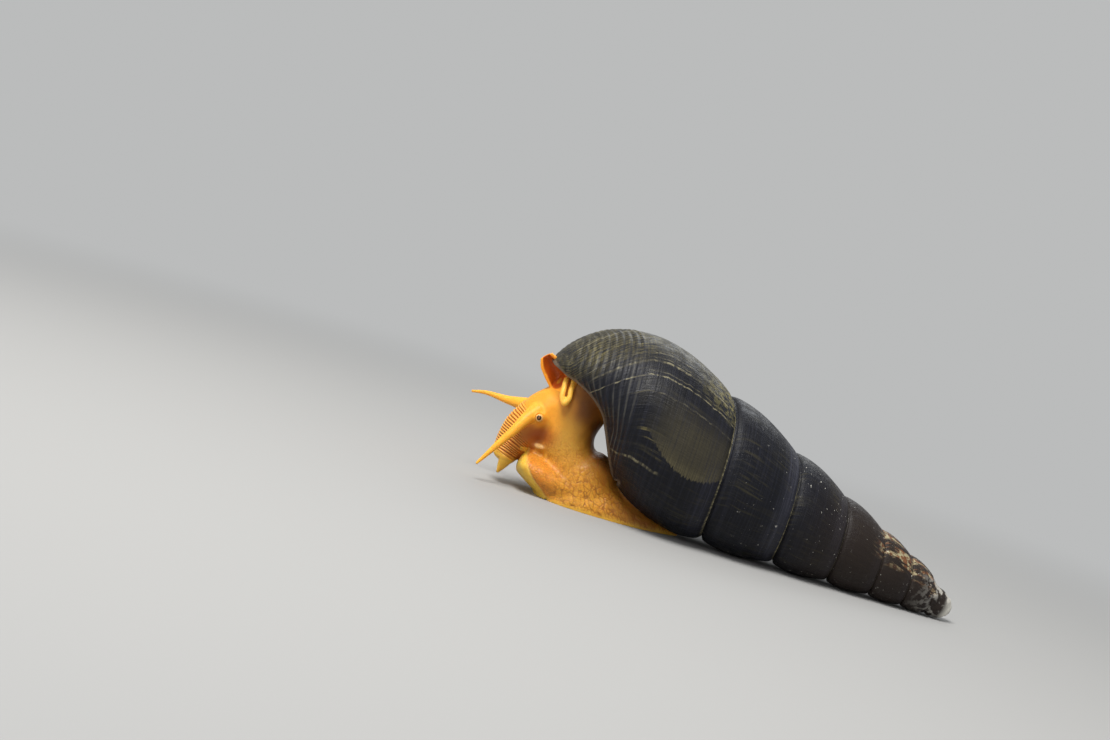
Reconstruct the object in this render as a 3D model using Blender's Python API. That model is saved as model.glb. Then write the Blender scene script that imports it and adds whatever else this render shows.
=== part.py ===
"""Rabbit snail (Tylomelania) crawling, a still life-size model.

Frame: origin at the middle of the foot sole, +Z up, the head towards -X, the tip of the
shell towards +X, the animal's left side towards -Y. Lengths below are in millimetres and
become metres when a mesh is made.
"""
import math

import bmesh
import bpy
import numpy as np
from mathutils import Euler, Matrix, Vector

MM = 0.001
GAP = 0.3                     # space between two nodes that touch
PINCH = 0.03                  # how far two corners that meet in one point are moved apart

# Shell: a cone of whorls that grow by a fixed ratio for each turn
CONE_TIP = (85.0, 0.0, 0.1)   # where the whorls would shrink to a point
AXIS_TILT = 12.6              # degrees that the axis rises towards the head
WHORL_RATIO = 1.30            # growth of the shell in one turn
LAST_SUTURE = 70.3            # distance of the last suture from the cone tip, on top
COIL_START = 9.4              # distance of the first suture, inside the part that is worn off
CONE_SLOPE = 0.205            # radius over distance at a suture
WHORL_BULGE = 0.021           # extra radius over distance on the belly of a whorl
SUTURE_STEP = 0.012           # depth of the groove at a suture over distance
LIP_ANGLE = 138.0             # degrees round from the left side to the outer lip
TURN_STEPS = 40               # mesh columns in one turn
WHORL_ROWS = (0.0, 0.06, 0.22, 0.42, 0.62, 0.8, 0.94)
BASE_CORDS = 14               # raised spiral cords on the base of the last whorl
CORD_HEIGHT = 0.16
LIP_WALL = 0.9                # thickness of the shell at its mouth
MOUTH_FROM, MOUTH_TO = 74.5, 106.0     # stretch of the axis over which the mouth is hollow
MOUTH_SWEEP = (-75.0, 145.0)  # degrees round the axis over which it is hollow
CORE_RADIUS = 1.6             # radius of the pillar in which the base ends
JOIN_SWEEP = 90.0             # degrees over which the last whorl leaves the cone
LIP_LAG = 34.0                # degrees that the front of the outer lip stays behind its rear
LAG_FROM, LAG_TO = 84.0, 104.0         # stretch of the axis over which it falls behind
LAG_SWEEP = 120.0             # degrees before the lip over which growth lines take its slant
MANTLE_INSET = 7.0            # degrees that the mantle stays inside the outer lip
MANTLE_SET_BACK = 1.1         # and how far it stays inside the edge on the left side
COLLAR_RADIUS = 1.3           # thickness of the rolled edge of the mantle along the outer lip

# Profile of the last whorl below its suture, as ratios of the suture distance:
# place and radius of its belly, the end of the base, and two powers for its fullness
TOP_BASE = (1.202, 0.2504, 1.489, 2.0, 0.5)
LOW_BASE = (1.10, 0.2330, 1.484, 3.0, 1.1)
FULL_FROM, FULL_TO = -90.0, 60.0       # degrees over which the base swells to the lip
SPOUT_FROM, SPOUT_TO = -15.0, 30.0     # degrees over which the base runs out to the spout

# The worn tip: distance along the axis and radius of its rounded end, which lies a little low
TIP_PROFILE = ((12.4, 0.4), (12.6, 1.0), (13.2, 1.8), (14.4, 2.5), (16.5, 3.1), (19.0, 4.2),
               (21.0, 30.0), (125.0, 30.0))
TIP_DROP = 0.6
TIP_SIDES = 24

# Edge of the mouth seen from the left: distance along the axis and height above it
LIP_EDGE = ((105.6, 3.9), (101.5, 2.2), (97.8, 1.8), (94.5, 1.0), (91.1, -0.9),
            (88.5, -3.9), (85.2, -8.2), (82.9, -10.9))

# Flesh: stations along each form as x, y, z, half width, half depth
NECK = ((-6.0, 1.8, 25.0, 6.8, 5.8), (-8.9, 0.6, 18.4, 6.2, 6.4), (-9.0, 0.0, 12.4, 5.6, 5.5),
        (-7.0, 0.0, 7.8, 6.1, 5.6), (-4.2, 0.0, 5.0, 7.0, 7.6), (-3.4, 0.0, 1.6, 7.4, 8.8))
HEAD = ((-8.6, 0.4, 19.0, 4.8, 4.6), (-11.6, 0.2, 17.4, 4.9, 4.7), (-14.3, 0.0, 15.3, 4.7, 4.5),
        (-16.2, -0.1, 12.9, 4.2, 4.25), (-17.3, -0.2, 11.2, 3.9, 4.05), (-18.0, -0.25, 9.6, 3.7, 3.8))
FOOT = ((-10.5, 0.0, 0.6, 5.0, 2.2), (-7.5, 0.0, 0.6, 7.2, 3.6), (-3.0, 0.0, 0.5, 7.9, 4.6),
        (2.0, 0.2, 0.5, 7.6, 5.8), (7.0, 0.6, 0.5, 6.8, 4.6), (11.5, 1.2, 0.5, 5.2, 2.9),
        (17.0, 2.2, 0.4, 2.2, 1.2))
LOBE = ((-5.0, 0.0, 2.8, 7.2, 3.6), (-9.5, 0.0, 3.5, 7.8, 3.6), (-12.7, 0.0, 4.5, 7.8, 3.1),
        (-15.3, 0.0, 5.3, 7.5, 2.4))
THROAT = ((-10.0, -0.8, 9.4, 3.4, 1.3), (-12.6, -1.0, 9.2, 3.1, 1.1), (-14.4, -1.1, 8.6, 2.4, 0.7))
SNOUT = ((-17.5, -0.2, 10.9, 3.8, 3.95), (-18.4, -0.3, 8.7, 3.5, 3.5), (-19.1, -0.35, 6.7, 3.3, 2.95),
         (-19.6, -0.4, 5.0, 3.1, 2.3))
SNOUT_RIDGES = 15             # folds across the upper side of the snout
RIDGE_HEIGHT = 0.17
SNOUT_REACH = 20.0            # depth of the cut that clears the head away before the snout
LIP_LOBE = ((-18.9, 5.2, 1.5), (-19.2, 3.8, 1.05), (-19.75, 1.9, 0.28))
LIP_LOBE_SIDE = 2.0           # distance of each lip lobe from the middle of the snout
EYE_PAD = 1.5                 # radius of the swelling that carries each eye
PAD_INSET = 1.15              # how far its middle lies inside the middle of the eye

# Parting planes between the parts of the flesh: a point on each plane and its normal
HEAD_CUT = ((-12.2, 0.0, 15.5), (-0.94, 0.0, -0.34))
FOOT_CUT = ((-4.0, 0.0, 7.9), (0.02, 0.0, 1.0))
LOBE_CUT = ((-5.4, 0.0, 4.6), (-0.956, 0.0, 0.293))
MANTLE_CUT = ((-7.9, 0.0, 19.5), (0.564, 0.0, 0.826))
VOXEL = 0.7                   # grain of the flesh before it is parted
FLESH_DETAIL = 0.13           # share of the faces that the flesh keeps after that

# Tentacles: x, y, z, radius from root to tip
TENTACLES = {
    "tentacle_left": ((-15.6, -3.2, 15.6, 1.75), (-17.5, -5.2, 13.6, 1.2), (-19.2, -6.6, 10.7, 0.86),
                      (-21.1, -7.4, 7.7, 0.64), (-22.6, -7.9, 5.2, 0.44), (-23.9, -8.2, 3.1, 0.27)),
    "tentacle_right": ((-17.0, 3.0, 15.6, 1.75), (-19.6, 4.6, 15.4, 1.25), (-22.5, 5.9, 15.2, 0.80),
                       (-26.6, 7.0, 15.2, 0.45), (-29.6, 7.6, 14.6, 0.27)),
}
EYES = {"eye_left": (-15.1, -5.15, 14.6), "eye_right": (-16.0, 4.95, 14.9)}
EYE_RADIUS = 0.8

# Mantle: the rolled fold of the siphon and the looped lappet that hangs beside it
SIPHON = ((-12.8, -1.6, 21.6, 2.3), (-14.6, -2.0, 23.4, 2.2), (-16.2, -2.3, 25.0, 2.0),
          (-17.4, -2.5, 26.3, 1.3))
SIPHON_OPENS = (-0.35, -0.93, 0.1)     # side on which the fold is open
SIPHON_SPREAD = 105.0                  # degrees of the roll to each side of its back
SIPHON_THICK = 0.7
LAPPET = ((-12.4, -4.0, 23.4, 0.5), (-12.3, -5.5, 21.4, 0.52), (-12.1, -6.2, 19.8, 0.54),
          (-11.45, -6.5, 18.8, 0.54), (-10.85, -6.45, 19.8, 0.54), (-10.9, -5.8, 21.4, 0.52),
          (-10.9, -4.2, 23.6, 0.5))

# Operculum: a thin oval plate on top of the tail of the foot
OPERCULUM_CENTRE = (9.6, 4.0, 3.6)
OPERCULUM_SIZE = (2.9, 2.3)
OPERCULUM_THICK = 0.6
OPERCULUM_PROFILE = ((0.55, 0.62), (0.92, 0.42), (1.0, 0.0), (0.92, -0.42), (0.55, -0.5))
OPERCULUM_TILT = (-14.0, 16.0)         # degrees about X and about Y

# Colours and finish of each part: base colour, roughness
COLOURS = {
    "shell": ((0.022, 0.022, 0.028), 0.36),
    "flesh": ((0.78, 0.36, 0.045), 0.42),
    "tentacle": ((0.86, 0.47, 0.08), 0.38),
    "snout": ((0.62, 0.25, 0.04), 0.42),
    "mantle": ((0.72, 0.22, 0.015), 0.40),
    "eye": ((0.02, 0.012, 0.008), 0.12),
    "operculum": ((0.09, 0.035, 0.012), 0.45),
}


def clear_scene():
    for item in list(bpy.data.objects):
        bpy.data.objects.remove(item, do_unlink=True)


def make_material(name):
    colour, roughness = COLOURS[name]
    material = bpy.data.materials.new(name)
    material.use_nodes = True
    shader = material.node_tree.nodes["Principled BSDF"]
    shader.inputs["Base Color"].default_value = (*colour, 1.0)
    shader.inputs["Roughness"].default_value = roughness
    shader.inputs["Metallic"].default_value = 0.0
    return material


def make_object(name, points, faces, finish=None):
    """A mesh object from points in millimetres, with its faces turned outwards."""
    mesh = bpy.data.meshes.new(name)
    mesh.from_pydata([tuple(MM * float(v) for v in p) for p in points], [], faces)
    work = bmesh.new()
    work.from_mesh(mesh)
    bmesh.ops.remove_doubles(work, verts=work.verts, dist=0.00001)
    bmesh.ops.recalc_face_normals(work, faces=work.faces)
    if work.calc_volume(signed=True) < 0:
        bmesh.ops.reverse_faces(work, faces=work.faces)
    bmesh.ops.triangulate(work, faces=work.faces)
    work.to_mesh(mesh)
    work.free()
    item = bpy.data.objects.new(name, mesh)
    bpy.context.collection.objects.link(item)
    if finish:
        mesh.materials.append(finish)
    return item


def bake(item):
    """Apply an object's modifiers to its mesh."""
    graph = bpy.context.evaluated_depsgraph_get()
    baked = bpy.data.meshes.new_from_object(item.evaluated_get(graph))
    item.modifiers.clear()
    item.data = baked


def joined_groups(faces):
    """Faces sorted into groups that hang together by their edges."""
    left = set(faces)
    groups = []
    while left:
        group = [left.pop()]
        for face in group:
            for edge in face.edges:
                for other in edge.link_faces:
                    if other in left:
                        left.discard(other)
                        group.append(other)
        groups.append(group)
    return groups


def keep_largest(item):
    """Keep only the largest closed surface of an object, with its pinched corners parted."""
    work = bmesh.new()
    work.from_mesh(item.data)
    bmesh.ops.triangulate(work, faces=work.faces)
    islands = joined_groups(work.faces)
    islands.sort(key=lambda faces: sum(face.calc_area() for face in faces))
    for island in islands[:-1]:
        bmesh.ops.delete(work, geom=island, context="FACES")
    for vertex in [v for v in work.verts if not v.is_manifold]:
        for fan in joined_groups(vertex.link_faces):
            middle = sum((face.calc_center_median() for face in fan), Vector()) / len(fan)
            apart = vertex.co + (middle - vertex.co).normalized() * PINCH * MM
            corner = work.verts.new(apart)
            for face in fan:
                work.faces.new([corner if v is vertex else v for v in face.verts])
        bmesh.ops.delete(work, geom=[vertex], context="VERTS")
    work.to_mesh(item.data)
    work.free()


def combine(item, others, operation):
    """Cut or join an object with others by Booleans, one after another."""
    for other in others:
        step = item.modifiers.new("step", "BOOLEAN")
        step.operation = operation
        step.solver = "MANIFOLD"
        step.object = other
        bpy.context.view_layer.update()
        bake(item)
    for other in others:
        bpy.data.objects.remove(other, do_unlink=True)
    keep_largest(item)
    return item


def smooth_step(low, high, value):
    t = min(max((value - low) / (high - low), 0.0), 1.0)
    return t * t * (3.0 - 2.0 * t)


def mix(a, b, t):
    return a + (b - a) * t


def axis_frame():
    tilt = math.radians(AXIS_TILT)
    along = np.array([-math.cos(tilt), 0.0, math.sin(tilt)])
    above = np.array([math.sin(tilt), 0.0, math.cos(tilt)])
    near = np.array([0.0, -1.0, 0.0])
    return np.array(CONE_TIP), along, above, near


def shell_point(angle, distance, radius):
    """A point by its angle round the axis, 0 on the left and 90 on top."""
    tip, along, above, near = axis_frame()
    turn = math.radians(angle)
    return tip + distance * along + radius * (math.cos(turn) * near + math.sin(turn) * above)


def suture_distance(angle):
    """Distance of the suture from the cone tip, for an angle counted on through the turns."""
    return LAST_SUTURE * WHORL_RATIO ** ((angle - 90.0) / 360.0)


def whorl_radius(v):
    """Radius over distance across a whorl, v from its upper suture to the next one."""
    belly = math.sin(math.pi * v ** 1.15) ** 0.8 if 0.0 < v < 1.0 else 0.0
    groove = math.exp(-v / 0.02) + math.exp(-(1.0 - v) / 0.02)
    return CONE_SLOPE + WHORL_BULGE * belly - SUTURE_STEP * groove


def base_profile(angle):
    """The base of the last whorl at an angle: belly place and radius, end, and its powers."""
    full = smooth_step(FULL_FROM, FULL_TO, angle)
    spout = smooth_step(SPOUT_FROM, SPOUT_TO, angle)
    values = [mix(low, top, full) for low, top in zip(LOW_BASE, TOP_BASE)]
    values[2] = mix(LOW_BASE[2] * suture_distance(-90.0) / suture_distance(angle)
                    * WHORL_RATIO ** ((min(angle, 0.0) + 90.0) / 720.0),
                    TOP_BASE[2] * suture_distance(90.0) / suture_distance(angle), spout)
    if angle < -90.0:
        values[2] = LOW_BASE[2]
    return values


def last_whorl_radius(angle, distance):
    """Radius of the last whorl from its suture down to the end of its base."""
    suture = suture_distance(angle)
    belly_at, belly, end, power, root = base_profile(angle)
    u = distance / suture
    if u >= belly_at:
        t = min((u - belly_at) / (end - belly_at), 1.0)
        return suture * belly * max(1.0 - t ** power, 0.0) ** root
    t = (u - 1.0) / (belly_at - 1.0)
    rise = math.sin(0.5 * math.pi * t) ** 0.9 if t > 0.0 else 0.0
    groove = SUTURE_STEP * math.exp(-t / 0.06)
    return suture * (mix(CONE_SLOPE, belly, rise) - groove)


def lip_lag(angle, distance):
    """Degrees that a growth line stays behind towards the front, near the lip only."""
    near_lip = smooth_step(LIP_ANGLE - LAG_SWEEP, LIP_ANGLE, angle)
    return LIP_LAG * near_lip * smooth_step(LAG_FROM, LAG_TO, distance)


def whorl_columns():
    """Angles of the mesh columns, counted on through the turns up to the outer lip."""
    turn = 360.0 / TURN_STEPS
    count = 1
    while suture_distance(LIP_ANGLE - turn * count) > COIL_START:
        count += 1
    return [LIP_ANGLE - turn * (count - 1 - i) for i in range(count)]


def whorl_solid(name):
    """The closed outer form of all whorls; its flat face at the lip angle is the mouth."""
    angles = whorl_columns()
    last_start = len(angles) - 1 - TURN_STEPS
    rows = len(WHORL_ROWS)
    base_rows = 2 * BASE_CORDS + 5
    points = []
    index = {}

    def add(column, row, point):
        index[column, row] = len(points)
        points.append(point)

    for i, angle in enumerate(angles):
        suture = suture_distance(angle)
        blend = 0.0
        if i > last_start:
            blend = smooth_step(0.0, JOIN_SWEEP, angle - angles[last_start])
        for j, v in enumerate(WHORL_ROWS):
            distance = suture * WHORL_RATIO ** v
            radius = distance * whorl_radius(v)
            turned = angle - lip_lag(angle, distance)
            if blend:
                radius = mix(radius, last_whorl_radius(turned, distance), blend)
            add(i, j, shell_point(turned, distance, radius))
        if i < last_start:
            continue
        start = suture * WHORL_RATIO
        end = base_profile(angle)[2] * suture
        edge = start * (CONE_SLOPE - SUTURE_STEP)
        for k in range(base_rows):
            t = k / (base_rows - 1)
            distance = mix(start, end, 1.0 - (1.0 - t) ** 1.5)
            turned = angle - lip_lag(angle, distance)
            radius = last_whorl_radius(turned, distance)
            radius = mix(min(radius, edge), radius, blend)
            if k % 2 == 1 and k <= 2 * BASE_CORDS:
                radius += CORD_HEIGHT
            add(i, rows + k, shell_point(turned, distance, max(radius, CORE_RADIUS)))
    index[last_start, rows] = index[len(angles) - 1, 0]

    def corner(i, j):
        if j == rows and i < last_start:
            return index[i + TURN_STEPS, 0]
        return index[i, j]

    faces = []
    for i in range(len(angles) - 1):
        count = rows if i < last_start else rows + base_rows - 1
        for j in range(count):
            faces.append((corner(i, j), corner(i + 1, j), corner(i + 1, j + 1), corner(i, j + 1)))
    top = rows + base_rows - 1
    mouth = [index[len(angles) - 1, j] for j in range(top + 1)]
    mouth += [index[last_start, j] for j in range(top, rows, -1)]
    faces.append(tuple(mouth))
    nose = [index[i, top] for i in range(last_start, len(angles))]
    add_fan(points, faces, nose)
    tip = [index[i, 0] for i in range(TURN_STEPS, -1, -1)]
    tip += [index[0, j] for j in range(1, rows)]
    add_fan(points, faces, tip)
    return make_object(name, points, faces)


def tube_faces(rows, sides):
    """Faces of a tube of rings, which all have the same number of points."""
    faces = []
    for k in range(rows - 1):
        for s in range(sides):
            n = (s + 1) % sides
            faces.append((k * sides + s, k * sides + n, (k + 1) * sides + n, (k + 1) * sides + s))
    return faces


def close_tube(points, faces, rows, sides):
    """Close both ends of a tube with fans."""
    last = (rows - 1) * sides
    add_fan(points, faces, list(range(sides))[::-1])
    add_fan(points, faces, [last + s for s in range(sides)])


def add_fan(points, faces, loop):
    """Close a loop of point numbers with a fan round its middle."""
    points.append(np.mean([points[n] for n in loop], axis=0))
    centre = len(points) - 1
    for a, b in zip(loop, loop[1:] + loop[:1]):
        faces.append((a, b, centre))


def spline(rows, count):
    """A smooth run of values through a few stations, count values from end to end."""
    rows = np.array(rows, float)
    padded = np.vstack([2 * rows[0] - rows[1], rows, 2 * rows[-1] - rows[-2]])
    result = []
    for s in np.linspace(0.0, len(rows) - 1.0, count):
        k = min(int(s), len(rows) - 2)
        t = s - k
        p0, p1, p2, p3 = padded[k:k + 4]
        result.append(0.5 * (2 * p1 + (p2 - p0) * t + (2 * p0 - 5 * p1 + 4 * p2 - p3) * t ** 2
                             + (3 * p1 - p0 - 3 * p2 + p3) * t ** 3))
    return np.array(result)


def loft(name, stations, finish=None, sides=20, count=14, ends=(0.6, 0.6), relief=None):
    """A closed form of oval sections along a path; ends say how far the caps bulge."""
    rows = spline(stations, count)
    path = rows[:, :3]
    width, depth = rows[:, 3], rows[:, -1]
    tangent = np.gradient(path, axis=0)
    tangent /= np.linalg.norm(tangent, axis=1)[:, None]
    sections = []
    for k in range(count):
        sections.append((path[k], tangent[k], width[k], depth[k], k / (count - 1)))
    for at, sign, bulge in ((0, -1.0, ends[0]), (-1, 1.0, ends[1])):
        if bulge <= 0.0:
            continue
        centre, way, wide, deep, t = sections[at]
        extra = []
        for turn in (30.0, 60.0, 80.0):
            c, s = math.cos(math.radians(turn)), math.sin(math.radians(turn))
            extra.append((centre + sign * way * bulge * min(wide, deep) * s, way, wide * c, deep * c, t))
        if sign < 0:
            sections = extra[::-1] + sections
        else:
            sections = sections + extra
    points, faces = [], tube_faces(len(sections), sides)
    for centre, way, wide, deep, t in sections:
        side = np.cross(np.array([0.0, 1.0, 0.0]), way)
        side /= np.linalg.norm(side)
        across = np.cross(way, side)
        for s in range(sides):
            a = 2.0 * math.pi * s / sides
            swell = relief(t, a) if relief else 0.0
            points.append(centre + (wide + swell) * math.cos(a) * across
                          + (deep + swell) * math.sin(a) * side)
    close_tube(points, faces, len(sections), sides)
    return make_object(name, points, faces, finish)


def block(name, low, high):
    """A box cutter from its lowest and highest corners."""
    corners = [(x, y, z) for x in (low[0], high[0]) for y in (low[1], high[1])
               for z in (low[2], high[2])]
    faces = [(0, 1, 3, 2), (4, 6, 7, 5), (0, 4, 5, 1), (2, 3, 7, 6), (0, 2, 6, 4), (1, 5, 7, 3)]
    return make_object(name, corners, faces)


def slab(name, centre, normal, thickness, reach=30.0):
    """A wide flat plate used as a saw cut, set by its middle and its normal."""
    normal = np.array(normal, float) / np.linalg.norm(normal)
    first = np.cross(normal, (0.0, 1.0, 0.0))
    first /= np.linalg.norm(first)
    second = np.cross(normal, first)
    points = []
    for n in (-0.5, 0.5):
        for a, b in ((-1, -1), (1, -1), (1, 1), (-1, 1)):
            points.append(np.array(centre) + normal * thickness * n + reach * (a * first + b * second))
    faces = [(0, 1, 2, 3), (4, 7, 6, 5), (0, 4, 5, 1), (1, 5, 6, 2), (2, 6, 7, 3), (3, 7, 4, 0)]
    return make_object(name, points, faces)


def swollen(item, amount):
    """A copy of an object with every point moved out along its normal."""
    copy = bpy.data.objects.new(item.name + "_swollen", item.data.copy())
    bpy.context.collection.objects.link(copy)
    work = bmesh.new()
    work.from_mesh(copy.data)
    work.normal_update()
    moves = [vertex.normal.copy() for vertex in work.verts]
    for vertex, move in zip(work.verts, moves):
        vertex.co += move * amount * MM
    work.to_mesh(copy.data)
    work.free()
    return copy


def lip_cutter():
    """Everything before and below the edge of the mouth, as a thick plate across the body."""
    tip, along, above, near = axis_frame()
    edge = [(140.0, 18.0), (112.0, 12.0)] + list(LIP_EDGE) + [(81.2, -13.2), (79.5, -40.0),
                                                            (140.0, -40.0)]
    points = [tip + d * along + e * above + y * near for y in (40.0, -40.0) for d, e in edge]
    n = len(edge)
    faces = [tuple(range(n)), tuple(range(2 * n - 1, n - 1, -1))]
    faces += [(k, n + k, n + (k + 1) % n, (k + 1) % n) for k in range(n)]
    return make_object("lip_cutter", points, faces)


def hollow_cutter():
    """The inside of the last whorl at the mouth, a wall's thickness in from the outside."""
    rows, sides = 12, 36
    points, faces = [], tube_faces(rows, sides)
    first, last = MOUTH_SWEEP
    for k in range(rows):
        distance = mix(MOUTH_FROM, MOUTH_TO, k / (rows - 1))
        narrow = mix(0.75, 1.0, smooth_step(MOUTH_FROM - 2.0, MOUTH_FROM + 4.0, distance))
        for s in range(sides):
            angle = 360.0 * s / sides - 200.0
            radius = 0.0
            if first <= angle <= last:
                radius = last_whorl_radius(min(angle, LIP_ANGLE), distance) * narrow - LIP_WALL
            points.append(shell_point(angle, distance, max(radius, 0.5 * CORE_RADIUS)))
    close_tube(points, faces, rows, sides)
    return make_object("hollow_cutter", points, faces)


def tip_keeper():
    """A turned body round the axis that holds all of the shell but the worn end of its tip."""
    points, faces = [], tube_faces(len(TIP_PROFILE), TIP_SIDES)
    tip, along, above, near = axis_frame()
    for distance, radius in TIP_PROFILE:
        for s in range(TIP_SIDES):
            points.append(shell_point(360.0 * s / TIP_SIDES, distance, radius) - TIP_DROP * above)
    close_tube(points, faces, len(TIP_PROFILE), TIP_SIDES)
    return make_object("tip_keeper", points, faces)


def mantle_stop(distance):
    """Angle at which the mantle ends, a little inside the outer lip."""
    return LIP_ANGLE - MANTLE_INSET - lip_lag(LIP_ANGLE, distance)


def mantle_form():
    """The flesh that fills the mouth of the shell up to just inside its lip."""
    rows, arc = 14, 30
    ring = arc + 2
    points, faces = [], tube_faces(rows, ring)
    for k in range(rows):
        distance = mix(MOUTH_FROM, MOUTH_TO - 2.0, k / (rows - 1))
        points.append(shell_point(0.0, distance, 0.0))
        for s in range(arc + 1):
            angle = mix(MOUTH_SWEEP[0] - 10.0, mantle_stop(distance), s / arc)
            radius = last_whorl_radius(max(angle, MOUTH_SWEEP[0]), distance) - LIP_WALL + GAP
            points.append(shell_point(angle, distance, max(radius, 0.6)))
    faces.append(tuple(range(ring))[::-1])
    faces.append(tuple((rows - 1) * ring + s for s in range(ring)))
    mantle = make_object("form_mantle", points, faces)
    edge = lip_cutter()
    tip, along, above, near = axis_frame()
    inward = (above - along) / math.sqrt(2.0)
    edge.data.transform(Matrix.Translation(Vector(inward * MANTLE_SET_BACK * MM)))
    return combine(mantle, [edge], "DIFFERENCE")


def collar_form():
    """The rolled edge of the mantle, just inside the outer lip from back to front."""
    stations = []
    for distance in np.linspace(MOUTH_FROM + 1.0, MOUTH_TO - 4.0, 9):
        angle = mantle_stop(distance)
        radius = last_whorl_radius(angle, distance) - LIP_WALL - 0.8 * COLLAR_RADIUS
        stations.append((*shell_point(angle, distance, radius), COLLAR_RADIUS, COLLAR_RADIUS))
    return loft("form_collar", stations, sides=16, count=24)


def rest_on_floor(item):
    """Flatten whatever reaches below the floor into small flats at its level."""
    for vertex in item.data.vertices:
        vertex.co.z = max(vertex.co.z, 0.0)


def make_shell():
    shell = whorl_solid("shell")
    combine(shell, [lip_cutter(), hollow_cutter()], "DIFFERENCE")
    combine(shell, [tip_keeper()], "INTERSECT")
    rest_on_floor(shell)
    shell.data.materials.clear()
    shell.data.materials.append(make_material("shell"))
    return shell


def make_flesh_core(shell):
    """Neck, head, foot and front lobe as one smooth body, hollowed where the shell is."""
    forms = [loft("form_neck", NECK, sides=28, ends=(0.9, 0.1)),
             loft("form_head", HEAD, sides=24, ends=(0.2, 0.3)),
             loft("form_foot", FOOT, sides=28, ends=(0.5, 0.5)),
             loft("form_lobe", LOBE, sides=28, ends=(0.3, 0.5)),
             loft("form_throat", THROAT, sides=16, ends=(0.3, 0.6))]
    forms += [ball("form_pad", (x, y - math.copysign(PAD_INSET, y), z), EYE_PAD)
              for x, y, z in EYES.values()]
    forms += [mantle_form(), collar_form()]
    core = forms[0]
    work = bmesh.new()
    for form in forms:
        work.from_mesh(form.data)
    work.to_mesh(core.data)
    work.free()
    for form in forms[1:]:
        bpy.data.objects.remove(form, do_unlink=True)
    grain = core.modifiers.new("grain", "REMESH")
    grain.mode = "VOXEL"
    grain.voxel_size = VOXEL * MM
    soften = core.modifiers.new("soften", "SMOOTH")
    soften.factor = 0.5
    soften.iterations = 4
    thin = core.modifiers.new("thin", "DECIMATE")
    thin.ratio = FLESH_DETAIL
    bpy.context.view_layer.update()
    bake(core)
    floor = block("floor_cutter", (-40.0, -40.0, -20.0), (60.0, 40.0, 0.0))
    combine(core, [floor, swollen(shell, GAP)], "DIFFERENCE")
    return core


def ball(name, centre, radius, finish=None, sides=12, rows=7):
    """A round body from its middle and radius."""
    points = [np.array(centre) + (0.0, 0.0, -radius)]
    for k in range(1, rows):
        polar = math.pi * k / rows
        for s in range(sides):
            a = 2.0 * math.pi * s / sides
            points.append(np.array(centre) + radius * np.array([
                math.sin(polar) * math.cos(a), math.sin(polar) * math.sin(a), -math.cos(polar)]))
    points.append(np.array(centre) + (0.0, 0.0, radius))
    top = len(points) - 1
    faces = []
    for s in range(sides):
        n = (s + 1) % sides
        faces.append((0, 1 + n, 1 + s))
        for k in range(rows - 2):
            row = 1 + k * sides
            faces.append((row + s, row + n, row + sides + n, row + sides + s))
        row = 1 + (rows - 2) * sides
        faces.append((row + s, row + n, top))
    return make_object(name, points, faces, finish)


def split(item, names, point, normal, reach=30.0):
    """Saw an object in two along a plane; the first name goes to the side the normal points to."""
    normal = np.array(normal, float) / np.linalg.norm(normal)
    halves = []
    for name, side in zip(names, (-1.0, 1.0)):
        half = bpy.data.objects.new(name, item.data.copy())
        bpy.context.collection.objects.link(half)
        depth = 40.0
        centre = np.array(point) + normal * side * (depth * 0.5 - GAP * 0.5)
        combine(half, [slab("saw", centre, normal, depth, reach)], "DIFFERENCE")
        halves.append(half)
    bpy.data.objects.remove(item, do_unlink=True)
    return halves


def dress(item, finish):
    item.data.materials.clear()
    item.data.materials.append(finish)
    for polygon in item.data.polygons:
        polygon.material_index = 0
    item.data.shade_smooth()
    item.data.set_sharp_from_angle(angle=math.radians(50.0))


def make_snout(name):
    """The snout with folds across its upper side and a pointed lobe at each corner of the lip."""
    def folds(t, a):
        wave = math.cos(2.0 * math.pi * SNOUT_RIDGES * t)
        return RIDGE_HEIGHT * wave * smooth_step(-0.75, -0.1, math.sin(a))
    snout = loft(name, SNOUT, sides=20, count=2 * SNOUT_RIDGES + 1, ends=(0.0, 0.45), relief=folds)
    lobes = []
    for side in (-1.0, 1.0):
        stations = [(x, SNOUT[-1][1] + side * LIP_LOBE_SIDE, z, r, r) for x, z, r in LIP_LOBE]
        lobes.append(loft("lip_lobe", stations, sides=10, count=7, ends=(0.3, 0.5)))
    return combine(snout, lobes, "UNION")


def trough(name, stations, opens, spread, thick, arc=10, count=8):
    """A rolled sheet: a C-shaped section along a path, open on one side."""
    rows = spline(stations, count)
    path = rows[:, :3]
    tangent = np.gradient(path, axis=0)
    tangent /= np.linalg.norm(tangent, axis=1)[:, None]
    back = -np.array(opens, float)
    ring = 2 * (arc + 1)
    points, faces = [], tube_faces(count, ring)
    for k in range(count):
        spine = back - tangent[k] * np.dot(back, tangent[k])
        spine /= np.linalg.norm(spine)
        flank = np.cross(tangent[k], spine)
        for radius, order in ((rows[k, 3], 1), (rows[k, 3] - thick, -1)):
            for s in range(arc + 1):
                a = math.radians(order * mix(-spread, spread, s / arc))
                points.append(path[k] + radius * (math.cos(a) * spine + math.sin(a) * flank))
    for k in (0, count - 1):
        for s in range(arc):
            faces.append((k * ring + s, k * ring + s + 1, k * ring + ring - 2 - s,
                          k * ring + ring - 1 - s))
    return make_object(name, points, faces)


def make_rod(name, stations, more):
    """A tapering round rod, thicker and longer at its root by a given amount."""
    rows = [(x, y, z, r + more, r + more) for x, y, z, r in stations]
    return loft(name, rows, sides=12, count=16, ends=(0.25 if more else 0.0, 0.6))


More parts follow.
